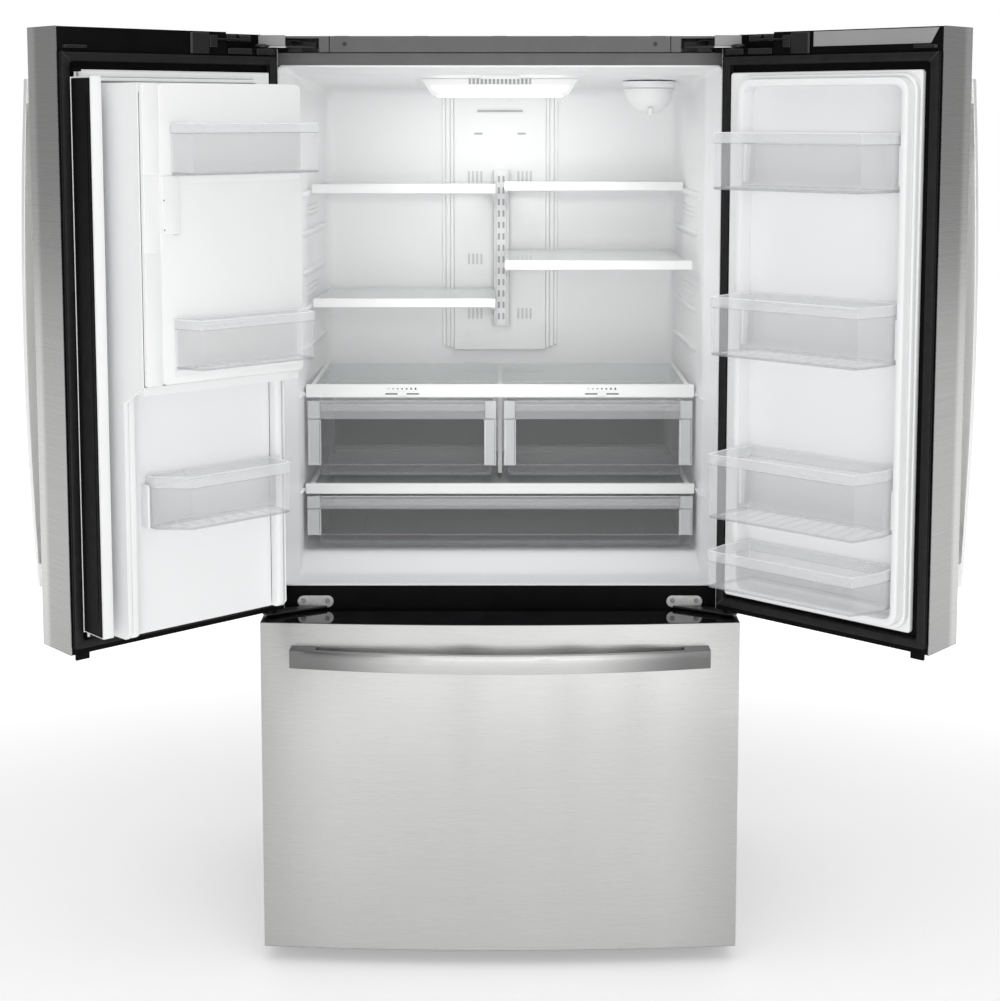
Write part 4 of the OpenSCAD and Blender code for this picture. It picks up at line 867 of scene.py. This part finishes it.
def face_panel(u0, u1, z0, z1, r=3.0, p1=P1):
    """A flat panel of the ice compartment's door, its front edge softened."""
    loops = [[(u, p, z) for u, z in fillet(inset(rect(u0, z0, u1, z1), d), max(0.6, r - d), 5)]
             for d, p in ((0, P0), (0, p1 - 1.6), (0.5, p1 - 0.5), (1.6, p1))]
    return loft(loops)


face = [block((66, P0 - 0.4, 1174), (383.6, P1 - 1.4, 1676)), face_panel(64, 352.6, 1172, 1678, 9),
        face_panel(353.1, 383.8, 1172, 1394.5, 2.2), face_panel(353.1, 383.8, 1526.1, 1678, 4),
        face_panel(353.1, 383.8, 1395.1, 1525.5, 2.2, P1 - 0.6),
        face_panel(318, 352, 1426, 1524, 3, P1 + 5.5),
        block((318, P1, 1424), (330, P1 + 3.5, 1425.4))]
face += [disc((347, P1 - 0.2, z), "y", 1.6, 0.8, 10) for z in (1424, 1476)]
make("ice_door_face", face, white_plastic, "ice_door", replaces=["ice_door"])
make("ice_door_screws", [disc((348.5, P1 + 5.3, z), "y", 1.3, 0.5, 12) for z in (1434, 1484)],
     grey_plastic, "ice_door")
# mounting ribs that the two small bins hook on to
make("ice_door_bin_rails", [block((68, P1, 1512), (332, P1 + 1.6, 1524)),
                            block((76, P1, 1184), (332, P1 + 1.6, 1196))], white_plastic, "ice_door",
     bevel=0.7)
TOP_BIN = [(64, 160.4), (335, 160.4), (328, 225), (68, 225)]
LOW_BIN = [(74, 160.4), (335, 160.4), (312, 218), (78, 218)]
make("ice_door_small_bins", [tray(TOP_BIN, 1526, 1612, 2.6, 5, 16, 1.4, 1.0, 4),
                             tray(LOW_BIN, 1198, 1283, 2.6, 5, 16, 1.4, 1.0, 4),
                             *floor_ribs(TOP_BIN, 1528.8, 10), *floor_ribs(LOW_BIN, 1200.8, 8)], BIN_MATS,
     "ice_door", replaces=["ice_door_bins"])
LEFT_BIN = [(82, 73.4), (344, 73.4), (340, 100), (292, 148), (82, 146)]
make("left_tall_bin", [tray(LEFT_BIN, 911, 1005, 2.6, 6, 20, 1.6, 1.2, 5), *floor_ribs(LEFT_BIN, 913.8, 9)],
     BIN_MATS, "left_door", replaces=["left_door_bin"])
BUCKET = [(78, 20), (372, 20), (364, 140), (90, 140)]
make("ice_bucket_bin", [tray(BUCKET, 1186, 1400, 3.0, 10, 14, 1.4, 2, 8)], BIN_MATS, "left_door",
     replaces=["ice_bucket"])

# the folding bar: a white body, a black face with a pale edge, and its pins
bar = fillet([(413.4, 13.4), (429, 13.4), (431.6, 16.8), (431.6, 79.6), (413.4, 79.6)], 2.2, 4)
make("folding_bar_body", [prism(bar, 731, 1690)], white_plastic, "mullion", bevel=0.8,
     replaces=["mullion_bar"])
make("folding_bar_trim", [block((431.8, 16.2, 731.6), (433.0, 79.8, 1689.4)),
                          block((413.2, 79.8, 731.6), (415.4, 80.8, 1689.4)),
                          block((432.8, 16.2, 731.6), (435.4, 18.3, 1689.4))], white_liner, "mullion",
     bevel=0.4)
make("folding_bar_face", [block((433.2, 18.6, 734), (434.8, 78.0, 1687)),
                          block((434.9, 26, 760), (435.4, 27, 1660)),
                          block((434.9, 69, 760), (435.4, 70, 1660))], black_plastic, "mullion", bevel=0.4)
pins = [disc((427.85, 20.15, 723), "z", 3, 8.5, 16), disc((427.85, 20.15, 1689.5), "z", 3, 8.5, 16)]
make("folding_bar_pins", pins, zinc, "mullion")
knuckles = [block((419, 1, z0), (433, 26, z1)) for z0, z1 in ((721.0, 722.6), (1698.4, 1704))]
make("folding_bar_brackets", knuckles, black_plastic, "left_door", bevel=1.0)

# blocks on the doors' top corners: the closer's cam, cable clips and cable
for side in ("left", "right"):
    body = side + "_door"
    hardware = [prism([(150, 2), (190, 2), (186, 5), (160, 5.6), (150, 4.5)], 1734, 1772),
                prism(rounded(132, -8, 149, 4, 2, 3), 1746, 1768),
                prism(rounded(90, -30, 111, 1, 2, 3), 1758.4, 1770),
                block((60, -3, 1758.4), (84, 2.4, 1769)), block((58, 0.5, 1735), (110, 3.4, 1745.6)),
                block((8, 0.5, 1735), (48, 3.5, 1745.8)),
                prism([(392, 0.4), (440, 0.4), (436, 5), (396, 5)], 1738, 1744)]
    make(side + "_door_hardware", hardware, black_gloss, body, bevel=1.2)
    cable = tube(smooth_path([(150, 2, 1764), (128, 3, 1761), (104, 4, 1762), (84, 4, 1761), (62, 3, 1763)],
                             8), 2.0, 10)
    make(side + "_door_cable", [cable], rubber, body)
    foot = prism(rounded(412, -30, 446, -4, 2, 3), 688.9, 692)
    make(side + "_door_stop", [foot, block((414, -8, 676.5), (440, -2.5, 689.4))], black_plastic, body,
         bevel=1.0)
plate = [(196, 1746.4), (427, 1746.4), (442, 1772.6), (196, 1772.6)]
make("right_door_top_plate", [plate_xz(plate, 0.15, 0.9)], cap_grey,
     "right_door", bevel=0.3, segments=2)

# ---------------------------------------------------------------- hinges ----
def screw(x, y, z, axis=-1, r=5.0):
    """A pan-head screw facing the front (axis -1) or the back, its cross drawn as raised quarters."""
    parts = [disc((x, y if axis > 0 else y - 1.8, z), "y", r, 1.8, 20)]
    for k in range(4):
        a = math.pi / 4 + k * math.pi / 2
        cx, cz = x + 0.56 * r * math.cos(a), z + 0.56 * r * math.sin(a)
        yy = y + 1.8 if axis > 0 else y - 2.3
        parts.append(disc((cx, yy, cz), "y", 0.30 * r, 0.5, 8))
    return parts


PIN_X, PIN_Y = -PIVOT[0], PIVOT[1]
plates, arms, heads, dark_heads = [], [], [], []
for side in (-1, 1):
    x0, x1 = sorted((side * 393, side * 323))
    plates.append(plate_xz(rounded(x0, 674.2, x1, 697.4, 11.4, 8), -3, -0.1))
    arm = [(side * 380, 0), (side * 330, 0), (side * 433, -56), (side * 453, -36)]
    if side > 0:
        arm = arm[::-1]
    arms.append(prism(arm, 674, 678))
    arms.append(disc((side * PIN_X, PIN_Y, 674), "z", 14, 4, 32))
    arms.append(disc((side * PIN_X, PIN_Y, 677.8), "z", 9, 9.6, 28))
    arms.append(disc((side * PIN_X, PIN_Y, 687), "z", 6, 20.8, 28))
    for x in (381, 335):
        heads += screw(side * x, -3, 688)
make("middle_hinge_arms", arms, black_paint, bevel=0.9)
make("middle_hinge_plates", plates, zinc, bevel=0.9, replaces=["middle_hinges"])
tops, knuckle, feet = [], [], []
for side in (-1, 1):
    x0, x1 = sorted((side * 400, side * 338))
    tops.append(block((x0, 8, 1742.4), (x1, 62, 1753.8)))
    arm = [(side * 400, 40), (side * 338, 8.4), (side * 432, -55), (side * 452, -35)]
    if side > 0:
        arm = arm[::-1]
    tops.append(prism(arm, 1750, 1754))
    tops.append(disc((side * PIN_X, PIN_Y, 1749.8), "z", 14, 4.6, 32))
    tops.append(disc((side * PIN_X, PIN_Y, 1722), "z", 6, 30, 28))
    tops.append(disc((side * PIN_X, PIN_Y, 1754.2), "z", 12.5, 3, 32, 0, 3))
    x0, x1 = sorted((side * 398, side * 448))
    knuckle.append(prism(rounded(x0, -51, x1, -47, 1.6, 3), 1752.4, 1772.6))
    feet.append(prism(rounded(x0 - 2, -52.6, x1 + 2, -47, 1.6, 3), 1749.6, 1751.6))
    for x in (385, 353):
        tops.append(disc((side * x, 46, 1753.6), "z", 6, 2.6, 20))
    dark_heads += screw(side * 292, -2.2, 1758, -1, 3.6)
make("hinge_knuckles", knuckle, cap_grey, bevel=0.8)
make("hinge_knuckle_feet", feet, zinc, bevel=0.4)
make("top_hinge_arms", tops, black_paint, bevel=0.8, replaces=["top_hinges"])
make("cover_screw_heads", dark_heads, screw_dark, bevel=0.3, segments=2)
make("hinge_screw_heads", heads, plate_screw, bevel=0.3, segments=2, replaces=["hinge_screws"])
# wiring and blocks seen inside the hinge cover's front slots
inside = []
for side in (-1, 1):
    for a, b, z0, z1 in ((346, 372, 1744, 1762), (392, 410, 1756, 1766), (414, 428, 1744, 1764)):
        x0, x1 = sorted((side * a, side * b))
        inside.append(block((x0, 1.4, z0), (x1, 7.6, z1)))
    inside.append(tube(smooth_path([(side * 372, 4, 1762), (side * 388, 2, 1765), (side * 402, 4, 1758),
                                    (side * 424, 3, 1764)], 8), 2.4, 8))
make("hinge_cover_wiring", inside, rubber, bevel=0.6)
seam = [block((-453, -2.5, 1741.6), (453, -0.2, 1742.1))]
for x in (-321, 321):
    seam.append(block((x - 0.7, -2.5, 1742.4), (x + 0.7, -2.0, 1773)))
for x in (-300, -150, 0, 150, 300):
    seam.append(block((x - 14, 20, 1773.1), (x + 14, 24, 1774.2)))
make("hinge_cover_seam", seam, black_plastic)

# -------------------------------------------------------------- dispenser ----
BOW_RADIUS, BOW_DEPTH = 5163.0, 102.0


def door_face(u, out):
    """The p of a point that stands out from the door's bowed outer face at u."""
    x = u - HALF_W
    return BOW_RADIUS - math.sqrt(BOW_RADIUS ** 2 - x * x) - BOW_DEPTH - out


def face_strip(u0, u1, z0, z1, out0, out1, r):
    """A thin plate that lies on the door's bowed outer face."""
    outline = rounded(u0, z0, u1, z1, r, 4)
    return loft([[(u, door_face(u, out), z) for u, z in outline] for out in (out0, out1)])


make("dispenser_glass", [face_strip(123, 327, 1398, 1497, 1.2, 2.0, 5)], black_gloss, "left_door")
icons = []
for k, u in enumerate((150, 180, 210, 240, 270, 300)):
    icons.append(face_strip(u - 7, u + 7, 1410, 1411.2, 2.02, 2.12, 0.5))
    if k % 3 == 0:
        icons.append(face_strip(u - 4, u + 4, 1418, 1426, 2.02, 2.12, 3.9))
    elif k % 3 == 1:
        icons.append(face_strip(u - 4, u + 4, 1418, 1426, 2.02, 2.12, 1.0))
    else:
        icons += [face_strip(u - 4, u + 4, 1418 + 3.2 * j, 1419.4 + 3.2 * j, 2.02, 2.12, 0.6)
                  for j in range(3)]
icons.append(face_strip(178, 272, 1452, 1480, 2.02, 2.10, 3))
make("dispenser_icons", icons, icon_light, "left_door")
trim = [face_strip(*edge, 0.6, 2.4, 1.0)
        for edge in ((120.4, 123, 1130.5, 1499.5), (327, 329.6, 1130.5, 1499.5),
                     (123, 327, 1497, 1499.5), (123, 327, 1130.5, 1133))]
make("dispenser_trim", trim, steel, "left_door")
spout = [disc((225, -76, 1342), "z", 13, 10, 28), disc((225, -76, 1336), "z", 8, 8, 24),
         prism(rounded(196, -92, 254, -62, 8, 5), 1352, 1391)]
make("dispenser_spout", spout, grey_plastic, "left_door", bevel=1.0)
grid = [prism(rounded(134, -88, 316, -28, 10, 5), 1144.5, 1146.6)]
grid += [block((x, -86, 1146.8), (x + 4, -30, 1149.4)) for x in range(140, 309, 12)]
make("dispenser_drip_grille", grid, grey_plastic, "left_door", bevel=0.6, segments=2)
paddle = [plate_xz(rounded(202, 1228, 248, 1336, 10, 5), -54.3, -50.7)]
paddle += [block((210, -55.2, z), (240, -54.4, z + 3)) for z in range(1240, 1277, 9)]
paddle.append(disc((192, -52.5, 1340), "x", 3, 66, 20))
make("dispenser_lever", paddle, grey_plastic, "dispenser_paddle", bevel=0.9, replaces=["dispenser_paddle"])

# --------------------------------------------------- the freezer's inside ----
def lattice_wall(a, b, z0, z1, pitch=22.0, bar=3.2, t=2.6):
    """An open moulded wall of uprights and rails between two plan points."""
    (ax, ay), (bx, by) = a, b
    length = math.hypot(bx - ax, by - ay)
    dx, dy = (bx - ax) / length, (by - ay) / length
    nx, ny = -dy * t / 2, dx * t / 2
    parts = []

    def slab(s0, s1, za, zb):
        pts = [(ax + dx * s0 - nx, ay + dy * s0 - ny), (ax + dx * s1 - nx, ay + dy * s1 - ny),
               (ax + dx * s1 + nx, ay + dy * s1 + ny), (ax + dx * s0 + nx, ay + dy * s0 + ny)]
        parts.append(prism(pts, za, zb))

    count = int(length // pitch)
    for k in range(count + 1):
        s = length * k / count
        slab(max(0, s - bar / 2), min(length, s + bar / 2), z0, z1)
    for z in (z0, z0 + (z1 - z0) * 0.5, z1 - 12):
        slab(0, length, z, z + 5)
    slab(0, length, z1 - 6, z1)
    return parts


basket = []
corners = [(-334, 22), (334, 22), (334, 384), (-334, 384)]
for i in range(4):
    basket += lattice_wall(corners[i], corners[(i + 1) % 4], 108, 333)
for k in range(29):
    x = -328 + 656 * k / 28
    basket.append(block((x - 1.6, 22, 104.4), (x + 1.6, 384, 107.6)))
for k in range(5):
    y = 24 + 356 * k / 4
    basket.append(block((-334, y - 1.6, 107.7), (334, y + 1.6, 110)))
loops = []
for out, z in ((0, 330), (0, 336.4), (34, 336.4), (34, 333.4), (3, 333.2)):
    rim = rounded(-334 - out, 22 - out * 0.23, 334 + out, 384 + out * 0.23, 12, 5)
    loops.append([(x, y, z) for x, y in rim])
basket.append(loft(loops, None, (None, None)))
make("lower_basket_open", basket, white_plastic, "freezer_drawer", bevel=0.6, segments=2,
     replaces=["lower_basket"])
upper = tray(rect(-356, 24, 356, 320), 399.3, 520, 3.0, 18, 16, 1.6, 4, 10)
ribs = floor_ribs([(-340, 30), (340, 310)], 402.6, 18)
make("upper_basket_bin", [upper, *ribs], BIN_MATS, "upper_basket", replaces=["upper_basket"])
slides = []
for side in (-1, 1):
    for y in (60, 180, 300, 410):
        slides.append(disc((side * 362 - 4, y, 364), "x", 11, 8, 24))
    x0, x1 = sorted((side * 379, side * 346))
    slides.append(block((x0, -8, 352), (x1, 430, 355)))
make("slide_rollers", slides, zinc, "freezer_drawer", bevel=0.6)
inner = [ring_frame((-400, 100, 400, 630), (-372, 128, 372, 602), -11.8, -4.5, 18, 14, 0, 2.5),
         block((-372, -11.8, 128), (372, -9.6, 602))]
make("drawer_inner_panel", inner, white_liner, "freezer_drawer", bevel=0.6)
freezer_ribs = []
for side in (-1, 1):
    for z in (140, 200, 260, 440, 500, 560):
        x0, x1 = sorted((side * 394.6, side * 391))
        freezer_ribs.append(block((x0, 40, z), (x1, 380, z + 5)))
make("freezer_wall_ribs", freezer_ribs, white_liner, bevel=1.5)

# ----------------------------------------------- base, back and underside ----
louvres = []
for k in range(6):
    z = 13 + 7.2 * k
    louvres.append(loft([[(x, y, z + dz) for y, dz in ((21.6, 0), (21.0, 1.4), (25.6, 4.2), (25.8, 2.6))]
                         for x in (-430, 430)]))
louvres += [block((-440, 22.4, 8), (440, 25.8, 11.4)), block((-440, 22.4, 55), (440, 25.8, 57))]
louvres += [block((x, 23, 10), (x + 6, 26, 56)) for x in (-440, -220, 0, 220, 434)]
make("kick_grille_louvres", louvres, black_plastic, bevel=0.4, segments=2, replaces=["kick_grille"])
feet = []
for x in (-415, 415):
    for y in (62, 576):
        feet += [disc((x, y, 0.0), "z", 18, 5.0, 36), disc((x, y, 5.0), "z", 15, 3.0, 6),
                 disc((x, y, 8), "z", 6, 42, 20)]
        for k in range(10):
            feet.append(disc((x, y, 12 + 3.6 * k), "z", 6.7, 1.3, 20))
make("levelling_feet_turned", feet, grey_plastic, bevel=0.5, replaces=["leveling_feet"])
AXLE_Y, AXLE_Z = 540, 21.5
for side, body in ((-1, "roller_left"), (1, "roller_right")):
    wheel = []
    for a, b, r in ((-8, -5.2, 18.6), (-5.2, 5.2, 20.0), (5.2, 8, 18.6)):
        wheel.append(disc((side * 360 + a, AXLE_Y, AXLE_Z), "x", r, b - a, 40))
    for k in range(6):
        a = 2 * math.pi * k / 6
        wheel.append(disc((side * 368 - (0.0 if side > 0 else 1.2), AXLE_Y + 11 * math.cos(a),
                           AXLE_Z + 11 * math.sin(a)), "x", 3.0, 1.2, 12))
    make(body + "_wheel", wheel, grey_plastic, body, bevel=0.6, replaces=[body])

# pressed ribs, seams, screws and the water inlet on the back
BACK = 609.9
back, screws_back = [], []
for x in (-300, -100, 100, 300):
    outline = rounded(x - 42, 330, x + 42, 1640, 38, 8)
    loops = [[(px, BACK, pz) for px, pz in outline],
             [(px, 612.4, pz) for px, pz in fillet(inset(rect(x - 42, 330, x + 42, 1640), 3.5), 34.5, 8)]]
    back.append(loft(loops, None, (None, 0)))
back += [block((x - 6, BACK, 236), (x + 6, 611.2, 1738)) for x in (-446, 446)]
back += [block((-452, BACK, 1728), (452, 611.2, 1741)), block((-452, BACK, 230), (452, 611.4, 244))]
make("back_sheet_ribs", back, case_paint, bevel=0.8)
for z in (250, 560, 870, 1180, 1490, 1732):
    for x in (-446, 446):
        screws_back += screw(x, 611.2, z, 1, 4.2)
for x in (-440, -220, 0, 220, 440):
    screws_back += screw(x, 611.4, 237, 1, 4.2)
    screws_back += screw(x, 610.2, 36, 1, 4.2)
make("back_screws", screws_back, zinc, bevel=0.3, segments=2)
inlet = [block((352, 610.1, 60), (400, 618, 110)), disc((376, 618, 84), "y", 9, 10, 28),
         disc((376, 628, 84), "y", 5.5, 7, 24), plate_xz(rounded(-420, 150, -368, 200, 6, 5), 610.1, 614),
         plate_xz(rounded(-410, 160, -378, 190, 3, 4), 614, 617)]
make("rear_inlets", inlet, grey_plastic, bevel=1.0)
tubes = [tube(smooth_path([(376, 622, 96), (384, 622, 160), (380, 618, 210), (392, 617, 300),
                           (396, 617, 900), (396, 617, 1500), (388, 617, 1660), (372, 616, 1716)], 8), 3.2,
              12)]
for z in (300, 700, 1100, 1500):
    tubes.append(block((386, 611.4, z), (406, 621.6, z + 8)))
make("water_line_back", tubes, grey_plastic)
fan = [disc((-70, 528, 116), "x", 15, 20, 32, 0, 4)]
for k in range(5):
    a = 2 * math.pi * k / 5
    blade = []
    for r0, w, tw in ((13, 9, 0.75), (24, 13, 0.62), (38, 15, 0.5), (49, 12, 0.42)):
        cy, cz = r0 * math.cos(a), r0 * math.sin(a)
        ty, tz = -math.sin(a), math.cos(a)
        sx, st = math.sin(tw), math.cos(tw)
        blade.append([(-60 + t * sx * 0.75 + thick * st, 528 + cy + ty * t * st, 116 + cz + tz * t * st)
                      for t, thick in ((-w, -0.8), (w, -0.8), (w, 0.8), (-w, 0.8))])
    fan.append(loft(blade))
make("condenser_fan_blades", fan, black_paint, "condenser_fan", bevel=0.4, replaces=["condenser_fan"])

# ---------------------------------------------------------------- studio ----
# The camera sees plain white. Everything else is lit by a sky that is brighter behind the object.
world = bpy.data.worlds.new("studio")
scene.world = world
world.use_nodes = True
new, link = node_maker(world.node_tree)
backdrop = world.node_tree.nodes["Background"]
backdrop.inputs["Color"].default_value = (1, 1, 1, 1)
lit = new("Background")
direction = new("TexCoord")
split = new("SeparateXYZ")
link(direction.outputs["Generated"], split.inputs["Vector"])
link(map_range(new, link, split.outputs["Y"], 0.25, 0.75, 0.44, 1.0), lit.inputs["Strength"])
path = new("LightPath")
either = new("MixShader")
link(path.outputs["Is Camera Ray"], either.inputs["Fac"])
link(lit.outputs["Background"], either.inputs[1])
link(backdrop.outputs["Background"], either.inputs[2])
link(either.outputs["Shader"], world.node_tree.nodes["World Output"].inputs["Surface"])
scene.view_settings.view_transform = "Standard"


def area_light(name, at, to, size, power, glossy=True):
    data = bpy.data.lights.new(name, "AREA")
    data.shape = "RECTANGLE"
    data.size, data.size_y = size
    data.energy = power
    o = bpy.data.objects.new(name, data)
    o.location = at
    o.rotation_euler = (Vector(to) - Vector(at)).to_track_quat("-Z", "Y").to_euler()
    o.visible_camera = False
    o.visible_glossy = glossy
    scene.collection.objects.link(o)


area_light("front_box", (1.0, -6.0, 2.2), (0, 0, 1.0), (6.5, 5.5), 108)
area_light("top_box", (0, -1.5, 4.6), (0, -1.0, 0), (5.0, 5.0), 84)
area_light("low_fill", (-0.9, -3.4, 0.5), (0.25, 0, 0.95), (3.0, 0.7), 11, False)
area_light("cabinet_lamp", (0, -0.0682 + 0.24, 1.655), (0, 0.28, 1.2), (0.34, 0.10), 0.6)
area_light("inner_fill", (0, -0.20, 1.30), (0, 0.5, 1.46), (0.6, 0.4), 0.5, False)

bm = bmesh.new()
bmesh.ops.create_grid(bm, x_segments=24, y_segments=24, size=14.0)
floor_mesh = bpy.data.meshes.new("studio_floor")
bm.to_mesh(floor_mesh)
bm.free()
floor = bpy.data.objects.new("studio_floor", floor_mesh)
floor.location.z = -0.0005
paper = material("floor_paper", (0.86, 0.86, 0.86), 0.8, 0.01, 2.0, 0.02, 90.0, Emission_Color=(1, 1, 1, 1))
# The paper brightens far from the object, so that it meets the white background without a line.
FLOOR_GLOW, FAR_GLOW = 0.34, 0.75
new, link = node_maker(paper.node_tree)
place = new("TexCoord")
far = new("VectorMath")
far.operation = "DISTANCE"
far.inputs[1].default_value = (0, -2.5, 0)
link(place.outputs["Object"], far.inputs[0])
link(map_range(new, link, far.outputs["Value"], 3.2, 5.2, FLOOR_GLOW, FAR_GLOW, smooth=True),
     paper.node_tree.nodes["Principled BSDF"].inputs["Emission Strength"])
floor_mesh.materials.append(paper)
scene.collection.objects.link(floor)

DOWN_TILT = 6.0
camera_data = bpy.data.cameras.new("photo_camera")
camera = bpy.data.objects.new("photo_camera", camera_data)
scene.collection.objects.link(camera)
camera_data.sensor_width = 36
camera_data.lens = 64.45
camera_data.shift_y = -0.197
camera.location = (0, -3.4712, 1.6255)
camera.rotation_euler = (math.radians(90 - DOWN_TILT), 0, 0)
camera_data.clip_end = 60
scene.camera = camera
